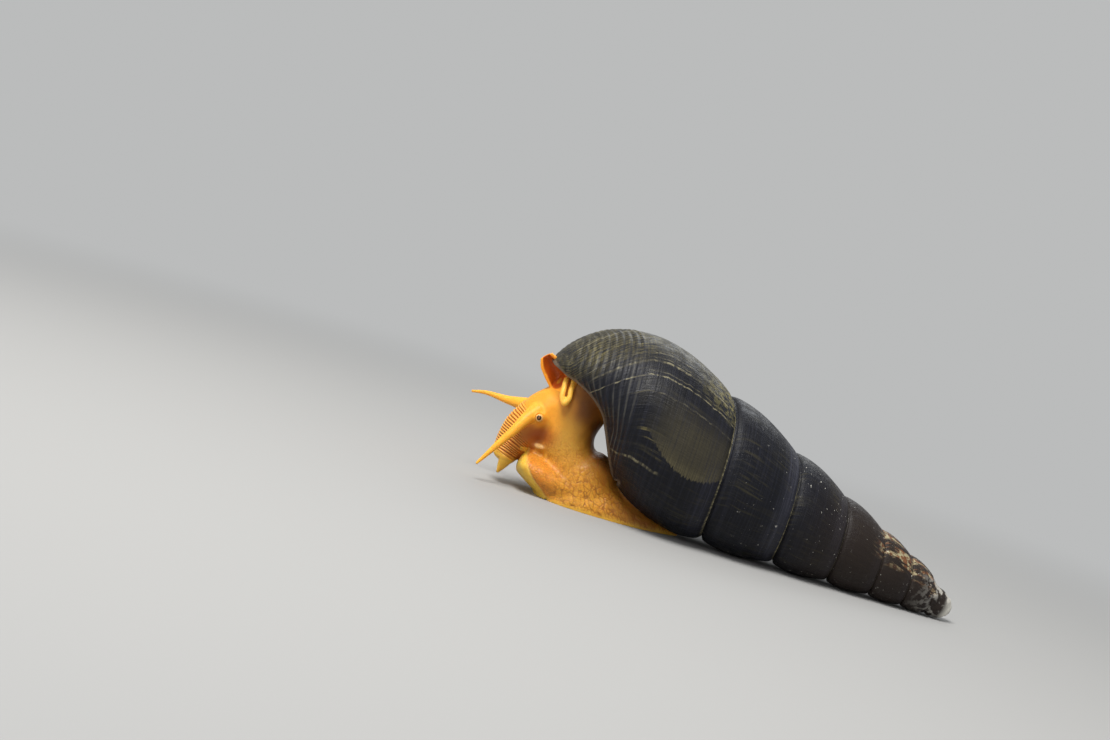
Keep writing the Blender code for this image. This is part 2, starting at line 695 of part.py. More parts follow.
def make_operculum(finish):
    """An oval plate, a little domed, tilted to lie on the tail."""
    sides = 24
    points, faces = [], tube_faces(len(OPERCULUM_PROFILE), sides)
    long, wide = OPERCULUM_SIZE
    for scale, height in OPERCULUM_PROFILE:
        for s in range(sides):
            a = 2.0 * math.pi * s / sides
            points.append(np.array((scale * long * math.cos(a), scale * wide * math.sin(a),
                                    height * OPERCULUM_THICK)))
    close_tube(points, faces, len(OPERCULUM_PROFILE), sides)
    plate = make_object("operculum", points, faces, finish)
    turn = Euler([math.radians(v) for v in (*OPERCULUM_TILT, 0.0)]).to_matrix().to_4x4()
    plate.data.transform(Matrix.Translation(Vector(OPERCULUM_CENTRE) * MM) @ turn)
    return plate


def make_snail():
    flesh = make_material("flesh")
    shell = make_shell()
    core = make_flesh_core(shell)
    upper, lower = split(core, ("upper", "lower"), *FOOT_CUT)
    head, trunk = split(upper, ("head", "trunk"), *HEAD_CUT)
    mantle, neck = split(trunk, ("mantle", "neck"), *MANTLE_CUT)
    lobe, foot = split(lower, ("foot_front", "foot"), *LOBE_CUT)
    root, after = spline(SNOUT, 2 * SNOUT_RIDGES + 1)[:2, :3]
    way = (after - root) / np.linalg.norm(after - root)
    combine(head, [slab("saw", root + way * (SNOUT_REACH * 0.5 - GAP), way, SNOUT_REACH, 9.0)],
            "DIFFERENCE")
    snout = make_snout("snout")
    tentacle_finish = make_material("tentacle")
    eye_finish = make_material("eye")
    eyes = []
    for name, place in EYES.items():
        combine(head, [ball("socket", place, EYE_RADIUS + GAP)], "DIFFERENCE")
        eyes.append(ball(name, place, EYE_RADIUS, eye_finish))
    for name, stations in TENTACLES.items():
        tentacle, pocket = (make_rod(label, stations, more) for label, more in
                            ((name, 0.0), ("pocket", GAP)))
        eye = EYES[name.replace("tentacle", "eye")]
        combine(head, [pocket], "DIFFERENCE")
        combine(tentacle, [ball("socket", eye, EYE_RADIUS + GAP)], "DIFFERENCE")
        dress(tentacle, tentacle_finish)
    combine(snout, [swollen(lobe, GAP)], "DIFFERENCE")
    mantle_finish = make_material("mantle")
    dress(mantle, mantle_finish)
    around = [shell, mantle, neck, head]
    siphon = trough("siphon", SIPHON, SIPHON_OPENS, SIPHON_SPREAD, SIPHON_THICK)
    combine(siphon, [swollen(item, GAP) for item in around], "DIFFERENCE")
    dress(siphon, mantle_finish)
    lappet = loft("mantle_lappet", [(x, y, z, r, r) for x, y, z, r in LAPPET], sides=10, count=18,
                  ends=(0.0, 0.0))
    combine(lappet, [swollen(item, GAP) for item in around + [siphon]], "DIFFERENCE")
    dress(lappet, mantle_finish)
    operculum_finish = make_material("operculum")
    operculum = make_operculum(operculum_finish)
    combine(foot, [swollen(operculum, GAP)], "DIFFERENCE")
    combine(operculum, [swollen(shell, GAP)], "DIFFERENCE")
    dress(operculum, operculum_finish)
    for item in (neck, head, lobe, foot):
        dress(item, flesh)
    dress(snout, make_material("snout"))
    for eye in eyes:
        dress(eye, eye_finish)


clear_scene()
make_snail()
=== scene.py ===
# %% [markdown]
# # A rabbit snail on its walk
#
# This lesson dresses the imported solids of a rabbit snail, a freshwater snail with a long
# spiral shell and a trunk-like snout. The solids give the size and the outline. Here they
# get what they lack: the fine relief of the shell, one soft skin over all parts of the
# body, wet eyes, and finishes. Lengths are in millimetres until a mesh is made, because a
# snail is easier to think about in millimetres than in thousandths of a metre.

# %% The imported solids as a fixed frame
import math
from types import SimpleNamespace

import bmesh
import bpy
import numpy as np
from mathutils import Euler, Matrix, Vector, noise


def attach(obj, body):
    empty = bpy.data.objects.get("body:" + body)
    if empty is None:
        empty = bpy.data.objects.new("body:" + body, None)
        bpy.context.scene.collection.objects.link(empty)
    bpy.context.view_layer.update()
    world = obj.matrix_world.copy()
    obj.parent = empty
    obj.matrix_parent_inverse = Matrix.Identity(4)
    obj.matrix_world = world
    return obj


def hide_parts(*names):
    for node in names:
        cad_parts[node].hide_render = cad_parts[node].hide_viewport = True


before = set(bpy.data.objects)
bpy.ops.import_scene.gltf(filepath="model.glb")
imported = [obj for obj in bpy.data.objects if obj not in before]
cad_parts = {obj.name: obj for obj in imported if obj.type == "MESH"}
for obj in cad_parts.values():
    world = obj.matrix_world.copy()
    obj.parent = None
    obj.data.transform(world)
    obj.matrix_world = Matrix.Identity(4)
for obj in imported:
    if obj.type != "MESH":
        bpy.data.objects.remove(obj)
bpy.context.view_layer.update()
MM = 0.001
print("solids:", ", ".join(sorted(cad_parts)))

# %% [markdown]
# ## Camera, floor and light
#
# The camera stands low on the animal's left and is rolled, so that the snail climbs
# towards the left of the picture. Its matrix is built from three directions: right, up and
# back. A lens with a known width of sensor gives the same view at any number of pixels.
# A pale floor and three large soft lights make a plain studio, and a bright world fills
# the shadows, so that a nearly black shell still shows its relief.

# %% Camera
CAMERA_AT = (-0.0150, -0.2700, 0.03816)
CAMERA_PITCH = 3.0            # degrees that it looks down
CAMERA_ROLL = 17.5            # degrees that it leans
CAMERA_LENS = 45.0
SENSOR_WIDTH = 36.0


def place_camera():
    pitch, roll = math.radians(CAMERA_PITCH), math.radians(CAMERA_ROLL)
    ahead = Vector((0.0, math.cos(pitch), -math.sin(pitch)))
    level_up = Vector((0.0, math.sin(pitch), math.cos(pitch)))
    level_right = Vector((1.0, 0.0, 0.0))
    right = math.cos(roll) * level_right + math.sin(roll) * level_up
    up = math.cos(roll) * level_up - math.sin(roll) * level_right
    turn = Matrix((right, up, -ahead)).transposed()
    lens = bpy.data.cameras.new("camera")
    lens.lens = CAMERA_LENS
    lens.sensor_width = SENSOR_WIDTH
    lens.clip_start = 0.01
    camera = bpy.data.objects.new("camera", lens)
    camera.matrix_world = Matrix.Translation(CAMERA_AT) @ turn.to_4x4()
    bpy.context.collection.objects.link(camera)
    bpy.context.scene.camera = camera
    return camera


camera = place_camera()
print("camera", [round(v, 4) for v in camera.location])

# %% Floor and lights
LIGHTS = {
    # name: place, size, watts, colour
    "key": ((-0.12, -0.20, 0.42), 0.24, 2.7, (1.0, 0.98, 0.95)),
    "fill": ((-0.30, -0.34, 0.16), 0.30, 0.30, (1.0, 0.98, 0.96)),
    "back": ((0.10, 0.36, 0.34), 0.30, 0.5, (0.95, 0.98, 1.0)),
}
LIGHT_AIM = Vector((0.01, 0.0, 0.015))
SKY = (0.80, 0.81, 0.81)      # colour of the even light from all round
SKY_STRENGTH = 0.62
FLOOR_SIDE = 14.0             # metres from the middle of the floor to a side
FLOOR_GREY = (0.36, 0.36, 0.357)
FADE_FROM, FADE_TO = 0.05, 0.42        # metres over which the floor fades into the sky


def make_floor_material():
    paint = bpy.data.materials.new("floor")
    paint.use_nodes = True
    nodes, links = paint.node_tree.nodes, paint.node_tree.links
    shader = nodes["Principled BSDF"]
    shader.inputs["Roughness"].default_value = 0.8
    shader.inputs["Specular IOR Level"].default_value = 0.0
    place = nodes.new("ShaderNodeTexCoord")
    far = nodes.new("ShaderNodeVectorMath")
    far.operation = "LENGTH"
    fade = nodes.new("ShaderNodeMapRange")
    fade.interpolation_type = "SMOOTHERSTEP"
    fade.inputs[1].default_value, fade.inputs[2].default_value = FADE_FROM, FADE_TO
    links.new(place.outputs["Object"], far.inputs[0])
    links.new(far.outputs["Value"], fade.inputs[0])
    for socket, near_colour, far_colour in (
            ("Base Color", FLOOR_GREY, (0.0, 0.0, 0.0)),
            ("Emission Color", (0.0, 0.0, 0.0), [c * SKY_STRENGTH for c in SKY])):
        blend = nodes.new("ShaderNodeMix")
        blend.data_type = "RGBA"
        blend.inputs[6].default_value = (*near_colour, 1.0)
        blend.inputs[7].default_value = (*far_colour, 1.0)
        links.new(fade.outputs[0], blend.inputs[0])
        links.new(blend.outputs[2], shader.inputs[socket])
    shader.inputs["Emission Strength"].default_value = 1.0
    return paint


def make_floor():
    mesh = bpy.data.meshes.new("floor")
    corners = [(x * FLOOR_SIDE, y * FLOOR_SIDE, 0.0) for x, y in ((-1, -1), (1, -1), (1, 1), (-1, 1))]
    mesh.from_pydata(corners, [], [(0, 1, 2, 3)])
    mesh.materials.append(make_floor_material())
    floor = bpy.data.objects.new("floor", mesh)
    bpy.context.collection.objects.link(floor)


def make_lights():
    for name, (place, size, watts, colour) in LIGHTS.items():
        data = bpy.data.lights.new(name, "AREA")
        data.shape = "DISK"
        data.size = size
        data.energy = watts
        data.color = colour
        light = bpy.data.objects.new(name, data)
        light.location = place
        light.rotation_euler = (LIGHT_AIM - light.location).to_track_quat("-Z", "Y").to_euler()
        bpy.context.collection.objects.link(light)
    world = bpy.data.worlds.new("studio")
    world.use_nodes = True
    world.node_tree.nodes["Background"].inputs["Color"].default_value = (*SKY, 1.0)
    world.node_tree.nodes["Background"].inputs["Strength"].default_value = SKY_STRENGTH
    bpy.context.scene.world = world
    bpy.context.scene.view_settings.view_transform = "Standard"


make_floor()
make_lights()
print("lights", len(LIGHTS))

# %% [markdown]
# ## Small helpers
#
# Some tools come back all through the lesson: a soft step between two values, a mix of two
# values, a bell round one value, even waves, the nearest sample of a line for each point,
# and a mesh object made from points and faces. They take whole numpy arrays, which is far
# quicker than asking Blender for one point at a time.

# %% Helpers
FAR = 99.0                    # stands for a distance that is too long to matter
def soft_step(low, high, value):
    t = np.clip((value - low) / (high - low), 0.0, 1.0)
    return t * t * (3.0 - 2.0 * t)


def mix(a, b, t):
    return a + (b - a) * t


def bell(value, middle, width):
    return np.exp(-((value - middle) / width) ** 2)


def waves(value, step=1.0):
    """Even waves, 0 at each whole step and 1 halfway between."""
    return 0.5 - 0.5 * np.cos(2.0 * np.pi * value / step)


def nearest_on(line, points, batch=20000):
    """The nearest sample of a line for each point, and its distance."""
    nearest, away = np.empty(len(points), int), np.empty(len(points))
    for start in range(0, len(points), batch):
        some = slice(start, start + batch)
        square = ((points[some, None] - line[None]) ** 2).sum(axis=2)
        nearest[some] = square.argmin(axis=1)
        away[some] = np.sqrt(square.min(axis=1))
    return nearest, away


def srgb(red, green, blue):
    """A colour given as 0 to 255 screen values, as the light values that shaders use."""
    values = np.array([red, green, blue]) / 255.0
    return np.where(values < 0.04045, values / 12.92, ((values + 0.055) / 1.055) ** 2.4)


def make_mesh(name, points, faces):
    mesh = bpy.data.meshes.new(name)
    mesh.from_pydata((np.asarray(points) * MM).tolist(), [], faces)
    mesh.validate()
    item = bpy.data.objects.new(name, mesh)
    bpy.context.collection.objects.link(item)
    return item


def tidy_mesh(item):
    """Merge doubled points and turn all faces outwards."""
    work = bmesh.new()
    work.from_mesh(item.data)
    bmesh.ops.remove_doubles(work, verts=work.verts, dist=0.000002)
    bmesh.ops.recalc_face_normals(work, faces=work.faces)
    if work.calc_volume(signed=True) < 0.0:
        bmesh.ops.reverse_faces(work, faces=work.faces)
    work.to_mesh(item.data)
    work.free()
    return item


def settle(item):
    """Apply the modifiers of an object to its mesh."""
    bpy.context.view_layer.update()
    graph = bpy.context.evaluated_depsgraph_get()
    baked = bpy.data.meshes.new_from_object(item.evaluated_get(graph))
    item.modifiers.clear()
    item.data = baked


def cut(item, cutter, operation="DIFFERENCE"):
    step = item.modifiers.new("cut", "BOOLEAN")
    step.operation = operation
    step.solver = "MANIFOLD"
    step.object = cutter
    settle(item)
    bpy.data.objects.remove(cutter, do_unlink=True)
    return item


def read_points(mesh):
    """Points and point normals of a mesh, in millimetres."""
    count = len(mesh.vertices)
    points = np.empty(count * 3)
    normals = np.empty(count * 3)
    mesh.vertices.foreach_get("co", points)
    mesh.vertex_normals.foreach_get("vector", normals)
    return points.reshape(-1, 3) / MM, normals.reshape(-1, 3)


def write_points(mesh, points):
    mesh.vertices.foreach_set("co", (points * MM).ravel())
    mesh.update()


print("helpers ready")

# %% [markdown]
# ## The coil of the shell
#
# A snail shell is one tube that grows by the same ratio in each turn. So each of its
# points has two natural coordinates: how far it lies round the axis, counted on through
# the turns, and how far it lies between its upper suture and the next one. The suture is
# the seam where a whorl meets the one before it. In this cell the coil is written as
# formulas of these two, with the same values as the solids, so that the fine shell lies
# exactly on the coarse one.

# %% Values of the coil
# three directions: along the axis towards the mouth, square to it upwards, and to the left
CONE_TIP = np.array((85.0, 0.0, 0.1))
AXIS_TILT = math.radians(12.6)
ALONG = np.array((-math.cos(AXIS_TILT), 0.0, math.sin(AXIS_TILT)))
ABOVE = np.array((math.sin(AXIS_TILT), 0.0, math.cos(AXIS_TILT)))
NEAR = np.array((0.0, -1.0, 0.0))
WHORL_RATIO = 1.30            # growth in one turn
LAST_SUTURE = 70.3            # distance from the cone's tip to the last suture, on top
COIL_START = 9.4              # distance of the first suture, inside the part that is worn off
CONE_SLOPE = 0.205            # radius over distance, without bulge or groove
WHORL_BULGE = 0.021
SUTURE_STEP = 0.012
LIP_ANGLE = 138.0             # degrees round the axis at which the last whorl ends
CORE_RADIUS = 1.6             # least radius of the base, at the axis
JOIN_SWEEP = 90.0             # degrees over which the last whorl takes on its own profile
# degrees that the lip falls back, over which stretch of the axis, and how long before the lip
LIP_LAG, LAG_FROM, LAG_TO, LAG_SWEEP = 34.0, 84.0, 104.0, 120.0
# the base on top and at the bottom: place and radius of the belly, end, and two powers
TOP_BASE = (1.202, 0.2504, 1.489, 2.0, 0.5)
LOW_BASE = (1.10, 0.2330, 1.484, 3.0, 1.1)


# %% Formulas of the coil
def coil_point(angle, distance, radius):
    """Points by angle round the axis in degrees, 0 on the left and 90 on top."""
    turn = np.radians(angle)[..., None]
    side = np.cos(turn) * NEAR + np.sin(turn) * ABOVE
    return CONE_TIP + distance[..., None] * ALONG + radius[..., None] * side


def suture_distance(angle):
    return LAST_SUTURE * WHORL_RATIO ** ((angle - 90.0) / 360.0)


def whorl_radius(across):
    """Radius over distance on the spire, across from 0 at a suture to 1 at the next."""
    belly = np.maximum(np.sin(np.pi * across ** 1.15), 0.0) ** 0.8
    shaded_groove = np.exp(-across / 0.02) + np.exp(-(1.0 - across) / 0.02)
    return CONE_SLOPE + WHORL_BULGE * belly - SUTURE_STEP * shaded_groove


def base_profile(angle):
    full = soft_step(-90.0, 60.0, angle)
    spout = soft_step(-15.0, 30.0, angle)
    belly_at, belly, end, power, root = (mix(low, top, full) for low, top in zip(LOW_BASE, TOP_BASE))
    low_end = LOW_BASE[2] * WHORL_RATIO ** ((np.minimum(angle, 0.0) + 90.0) / 720.0)
    low_end = low_end * suture_distance(-90.0) / suture_distance(angle)
    top_end = TOP_BASE[2] * suture_distance(90.0) / suture_distance(angle)
    end = np.where(angle < -90.0, LOW_BASE[2], mix(low_end, top_end, spout))
    return belly_at, belly, end, power, root


def last_radius(angle, distance):
    """Radius of the last whorl from its suture to the end of its base."""
    suture = suture_distance(angle)
    belly_at, belly, end, power, root = base_profile(angle)
    along = distance / suture
    t = np.clip((along - belly_at) / (end - belly_at), 0.0, 1.0)
    base = belly * np.maximum(1.0 - t ** power, 0.0) ** root
    s = np.clip((along - 1.0) / (belly_at - 1.0), 0.0, 1.0)
    rise = np.sin(0.5 * np.pi * s) ** 0.9
    shoulder = mix(CONE_SLOPE, belly, rise) - SUTURE_STEP * np.exp(-s / 0.06)
    return suture * np.where(along >= belly_at, base, shoulder)


def lip_lag(angle, distance):
    near_lip = soft_step(LIP_ANGLE - LAG_SWEEP, LIP_ANGLE, angle)
    return LIP_LAG * near_lip * soft_step(LAG_FROM, LAG_TO, distance)


print("last suture", LAST_SUTURE, "mm from the tip of the cone")

# %% [markdown]
# ## Relief of the shell
#
# Two sets of lines cross on the shell. Cords run with the spiral: strong ones on the base,
# a band of narrower ones under each suture, and faint threads between. Growth lines run
# across them, one for each pause in building, and they bend back on the base. Both are
# added as small changes of the radius, so they are real ridges in the mesh. Values drawn
# once from a seeded generator make the growth lines irregular in the same way each time.

# %% Relief of the shell
FULL_GROWN = 85.0             # distance on the cone where the fine relief has its full height
BASE_CORDS = 14
CORD_PLACES = BASE_CORDS + 2  # the last two places, beside the axis, stay plain
CORD_HEIGHT = 0.16
BAND_STEP = 0.052             # of a whorl's width, between the cords under a suture
BAND_END = (0.20, 0.34)       # where these narrower cords fade out across the whorl
BAND_HEIGHT = 0.055
THREAD_HEIGHT = 0.020
GROWTH_BEND = 25.0            # degrees that a growth line falls back on the base
PAUSES = (-17.0, 31.0, 43.0, 54.5, 97.0, 118.0)   # growth angles with a strong line
PAUSE_HEIGHT = 0.055
random_table = np.random.default_rng(11).random(4096) * 2.0 - 1.0


def ripple(value):
    """Smooth irregular waves between -1 and 1, about one for each whole number."""
    low = np.floor(value)
    t = value - low
    t = t * t * (3.0 - 2.0 * t)
    a = random_table[(low.astype(int)) % 4096]
    b = random_table[(low.astype(int) + 1) % 4096]
    return mix(a, b, t)


def growth_angle(angle, across):
    """The angle at which a growth line starts at its suture."""
    return angle + GROWTH_BEND * np.clip((across - 0.83) / 0.45, 0.0, 1.6) ** 1.6


def shell_relief(angle, across, distance, base_share):
    """Change of radius in millimetres. base_share runs from 0 to 1 over the base."""
    scale = distance / FULL_GROWN
    grown = growth_angle(angle, across)
    # three sets of growth lines, about 2, 4 and 11 degrees apart
    lines = 0.020 * ripple(grown / 1.7) + 0.032 * ripple(grown / 4.3 + 70.0)
    lines = lines + 0.040 * ripple(grown / 11.0 + 200.0) * soft_step(0.05, 0.3, across)
    for pause in PAUSES:
        lines = lines + PAUSE_HEIGHT * bell(grown, pause, 0.8) * (angle > -100.0)
    cords = CORD_HEIGHT * waves(base_share * CORD_PLACES) ** 0.8
    cords = cords * soft_step(0.0, 0.05, base_share) * (1.0 - soft_step(0.84, 0.90, base_share))
    cords = cords * (0.35 + 0.65 * soft_step(-60.0, 0.0, angle))
    narrow = waves(across, BAND_STEP)
    band = BAND_HEIGHT * narrow * soft_step(0.0, 0.03, across) * (1.0 - soft_step(*BAND_END, across))
    threads = THREAD_HEIGHT * narrow * soft_step(0.25, 0.4, across)
    threads = threads * (0.4 + 0.6 * ripple(grown / 9.0) ** 2)
    return scale * (lines + band + threads) + cords


print("base cords", BASE_CORDS, "growth pauses", len(PAUSES))

# %% [markdown]
# ## The shell as a grid
#
# The grid has a column for each degree or so round the coil and rows across a whorl. The
# last row of one turn is the first row of the next, so neighbouring turns share their
# points and the spire is closed without any welding. The last turn has no next one, and
# its rows run on over the base. One large face closes each open end, because the cuts that
# follow need a closed mesh.

# %% Grid of the shell
TURN_STEPS = 300
WHORL_ROWS = 60
BASE_ROWS = 200


def shell_columns():
    step = 360.0 / TURN_STEPS
    count = 1
    while suture_distance(LIP_ANGLE - step * count) > COIL_START:
        count += 1
    return LIP_ANGLE - step * np.arange(count - 1, -1, -1)


def build_shell():
    angles = shell_columns()
    start = len(angles) - 1 - TURN_STEPS
    across = np.arange(WHORL_ROWS) / WHORL_ROWS
    angle, row = np.meshgrid(angles, across, indexing="ij")
    distance = suture_distance(angle) * WHORL_RATIO ** row
    blend = np.where(angle > angles[start], soft_step(0.0, JOIN_SWEEP, angle - angles[start]), 0.0)
    turned = angle - lip_lag(angle, distance)
    radius = mix(distance * whorl_radius(row), last_radius(turned, distance), blend)
    radius = radius + shell_relief(angle, row, distance, np.zeros_like(row))
    spire = coil_point(turned, distance, radius)

    share = np.linspace(0.0, 1.0, BASE_ROWS)
    angle, row = np.meshgrid(angles[start:], share, indexing="ij")
    suture = suture_distance(angle)
    first = suture * WHORL_RATIO
    distance = mix(first, base_profile(angle)[2] * suture, 1.0 - (1.0 - row) ** 1.5)
    blend = soft_step(0.0, JOIN_SWEEP, angle - angles[start])
    turned = angle - lip_lag(angle, distance)
    radius = last_radius(turned, distance)
    radius = mix(np.minimum(radius, first * (CONE_SLOPE - SUTURE_STEP)), radius, blend)
    width = np.log(distance / suture) / math.log(WHORL_RATIO)
    radius = radius + shell_relief(angle, width, distance, row)
    base = coil_point(turned, distance, np.maximum(radius, CORE_RADIUS))
    return angles, start, spire, base


print("columns of the shell", len(shell_columns()))

# %% [markdown]
# ## Joining the grid into one mesh
#
# The points still have to be linked. Each cell of the grid becomes a face with four
# corners. Where a whorl meets the next one, both use the same points, so there is no seam
# to weld. A tube swept along a spiral would be simpler to make, but it would run through
# its neighbours at each seam.

# %% Joining the grid
def join_shell(angles, start, spire, base):
    columns = len(angles)
    points = np.vstack([spire.reshape(-1, 3), base.reshape(-1, 3)])
    spire_id = np.arange(columns * WHORL_ROWS).reshape(columns, WHORL_ROWS)
    base_id = columns * WHORL_ROWS + np.arange(base.shape[0] * BASE_ROWS).reshape(-1, BASE_ROWS)
    full = np.empty((columns, WHORL_ROWS + 1), int)
    full[:, :-1] = spire_id
    full[:start + 1, -1] = spire_id[TURN_STEPS:, 0]
    full[start + 1:, -1] = base_id[1:, 0]
    base_id[0, 0] = spire_id[-1, 0]

    def quads(grid):
        corners = (grid[:-1, :-1], grid[1:, :-1], grid[1:, 1:], grid[:-1, 1:])
        return np.stack([c.ravel() for c in corners], axis=1).tolist()

    faces = quads(full) + quads(base_id)
    outer = list(spire_id[-1]) + list(base_id[-1])
    inner = list(base_id[0, 1:])[::-1]
    faces.append([int(n) for n in outer + inner])
    faces.append([int(n) for n in base_id[:, -1]][::-1])
    tip = [int(spire_id[i, 0]) for i in range(TURN_STEPS, -1, -1)]
    tip += [int(spire_id[0, j]) for j in range(1, WHORL_ROWS)]
    faces.append(tip)
    return tidy_mesh(make_mesh("shell_outside", points, faces))


shell = join_shell(*build_shell())
print("shell grid", len(shell.data.polygons), "faces")

# %% [markdown]
# ## Opening the mouth
#
# On a real snail the outer lip sweeps back along the side, and the tube is open behind it.
# Two closed cutters make this: a thick plate whose edge follows the lip as seen from the
# left, and a core a little smaller than the whorl, which hollows it and leaves a wall that
# thins towards the edge. The manifold solver cuts such dense closed meshes in moments. A
# third body, turned round the axis, keeps all of the shell but the old end of its tip,
# which is worn round on a living snail.

# %% Values of the mouth and the tip
LIP_EDGE = ((112.0, 12.0), (105.6, 3.9), (101.5, 2.2), (97.8, 1.8), (94.5, 1.0), (91.1, -0.9),
            (88.5, -3.9), (85.2, -8.2), (82.9, -10.9), (81.2, -13.2), (79.5, -40.0))
LIP_WALL = 0.55               # thickness of the shell at its edge
DEEP_WALL = 0.95              # and further in
MOUTH_FROM, MOUTH_TO = 74.5, 106.0     # stretch of the axis over which the mouth is hollow
MOUTH_SWEEP = (-71.0, 141.0)  # degrees round the axis over which it is hollow
TIP_PROFILE = ((12.4, 0.4), (12.6, 1.0), (13.2, 1.8), (14.4, 2.5), (16.5, 3.1), (19.0, 4.2),
               (21.0, 30.0), (125.0, 30.0))    # distance and radius of the body kept at the tip
TIP_DROP = 0.6                # how far that body lies below the axis
PLATE_END, PLATE_SIDE = 140.0, 40.0    # reach of the plate along the axis and to each side
print("mouth", MOUTH_TO - MOUTH_FROM, "mm long")

# %% [markdown]
# ## Smooth lines and closed tubes
#
# Two helpers serve all the forms that follow. One draws a smooth line through a few
# points, so that an edge needs few measured points. The other links rings of points into a
# closed tube. Blender's own curves could do both, but the samples of a line that is an
# array can be measured against, which the masks for relief and paint do later.

# %% Smooth lines and closed tubes
def rounded(points, per_span=8):
    """A smooth line through a few points."""
    rows = np.array(points, float)
    padded = np.vstack([2 * rows[0] - rows[1], rows, 2 * rows[-1] - rows[-2]])
    line = []
    for k in range(len(rows) - 1):
        p0, p1, p2, p3 = padded[k:k + 4]
        for t in np.arange(per_span) / per_span:
            line.append(0.5 * (2 * p1 + (p2 - p0) * t + (2 * p0 - 5 * p1 + 4 * p2 - p3) * t ** 2
                               + (3 * p1 - p0 - 3 * p2 + p3) * t ** 3))
    return np.array(line + [rows[-1]])


def section_grid(points, rings, sides):
    """Faces of a closed tube of rings, with both ends capped."""
    ids = np.arange(rings * sides).reshape(rings, sides)
    ahead = np.roll(ids, -1, axis=1)
    corners = (ids[:-1], ahead[:-1], ahead[1:], ids[1:])
    faces = np.stack([c.ravel() for c in corners], axis=1).tolist()
    return points, faces + [ids[0].tolist()[::-1], ids[-1].tolist()]


print("samples of the lip's edge", len(rounded(LIP_EDGE)))

# %% Cutting the mouth
def lip_plate(shift=0.0):
    """A closed plate across the body; shift moves its edge in behind the lip."""
    edge = [(PLATE_END, 18.0)] + list(rounded(LIP_EDGE)) + [(PLATE_END, -PLATE_SIDE)]
    inward = (ABOVE - ALONG) * shift / math.sqrt(2.0)
    points = [CONE_TIP + d * ALONG + e * ABOVE + y * NEAR + inward
              for y in (PLATE_SIDE, -PLATE_SIDE) for d, e in edge]
    n = len(edge)
    faces = [list(range(n)), list(range(2 * n - 1, n - 1, -1))]
    faces += [[k, n + k, n + (k + 1) % n, (k + 1) % n] for k in range(n)]
    return tidy_mesh(make_mesh("lip_plate", points, faces))


def mouth_core():
    rows, sides = 70, 144
    share, turn = np.meshgrid(np.linspace(0.0, 1.0, rows), np.arange(sides) / sides, indexing="ij")
    distance = mix(MOUTH_FROM, MOUTH_TO, share)
    angle = 360.0 * turn - 200.0
    floor = soft_step(MOUTH_FROM - 2.0, MOUTH_FROM + 4.0, distance)
    wall = mix(DEEP_WALL, LIP_WALL, soft_step(LIP_ANGLE - 60.0, LIP_ANGLE - 25.0, angle))
    radius = last_radius(np.minimum(angle, LIP_ANGLE), distance) * mix(0.75, 1.0, floor) - wall
    hollow = (angle > MOUTH_SWEEP[0]) & (angle < MOUTH_SWEEP[1])
    radius = np.maximum(np.where(hollow, radius, 0.0), 0.8)
    points = coil_point(angle, distance, radius).reshape(-1, 3)
    return tidy_mesh(make_mesh("mouth_core", *section_grid(points, rows, sides)))


def tip_keeper(sides=120):
    """A turned body round the axis that leaves out the worn end of the tip."""
    profile = np.vstack([rounded(TIP_PROFILE[:6], 5), TIP_PROFILE[6:]])
    rows = len(profile)
    row, turn = np.meshgrid(np.arange(rows), np.arange(sides), indexing="ij")
    angle = 360.0 * turn / sides
    uneven = 1.0 + 0.05 * np.sin(np.radians(3.0 * angle) + 0.9 * row)
    points = coil_point(angle, profile[row, 0], profile[row, 1] * uneven).reshape(-1, 3)
    points = points - TIP_DROP * ABOVE
    return tidy_mesh(make_mesh("tip_keeper", *section_grid(points, rows, sides)))


cut(shell, lip_plate())
cut(shell, mouth_core())
cut(shell, tip_keeper(), "INTERSECT")
points, _ = read_points(shell.data)
points[:, 2] = np.maximum(points[:, 2], 0.0)
write_points(shell.data, points)
print("shell with its mouth", len(shell.data.polygons), "faces")

# %% [markdown]
# ## Knowing where each face lies on the coil
#
# The colours of the shell follow its growth, so the material needs the coil coordinates.
# After the cuts they are found again from the points: the distance from the cone's tip and
# the angle give the number of the turn and the place between two sutures. They are stored
# for the corners of the faces, counted from the middle of each face. A face that touches a
# suture then belongs to one whorl only, and no streak runs the wrong way across the seam.

# %% Coil coordinates
def store_coil(mesh):
    points, _ = read_points(mesh)
    corner_point = np.empty(len(mesh.loops), int)
    mesh.loops.foreach_get("vertex_index", corner_point)
    middles = np.empty(len(mesh.polygons) * 3)
    mesh.polygons.foreach_get("center", middles)
    middles = middles.reshape(-1, 3) / MM
    sizes = np.empty(len(mesh.polygons), int)
    mesh.polygons.foreach_get("loop_total", sizes)
    owner = np.repeat(np.arange(len(sizes)), sizes)

    def polar(spots):
        local = spots - CONE_TIP
        return (np.degrees(np.arctan2(local @ ABOVE, local @ NEAR)), np.maximum(local @ ALONG, 1.0))

    middle_angle, middle_distance = polar(middles)
    total = np.log(middle_distance / LAST_SUTURE) / math.log(WHORL_RATIO) + 0.25
    last_turn = np.floor((LIP_ANGLE - middle_angle) / 360.0)
    turn = np.minimum(np.floor(total - middle_angle / 360.0), last_turn)
    angle, distance = polar(points)
    angle, distance = angle[corner_point], distance[corner_point]
    base = middle_angle[owner]
    angle = base + (angle - base + 180.0) % 360.0 - 180.0 + 360.0 * turn[owner]
    across = np.log(distance / LAST_SUTURE) / math.log(WHORL_RATIO) + 0.25 - angle / 360.0
    grown = growth_angle(angle, across)
    store_vector(mesh, "coil", (grown / 360.0, across, distance / 100.0))
    local = (points - CONE_TIP)[corner_point]
    radius = np.hypot(local @ ABOVE, local @ NEAR)
    return angle, across, distance, radius, local @ ABOVE


def store_vector(mesh, name, columns):
    field = mesh.attributes.new(name, "FLOAT_VECTOR", "CORNER")
    field.data.foreach_set("vector", np.stack(columns, axis=1).ravel())


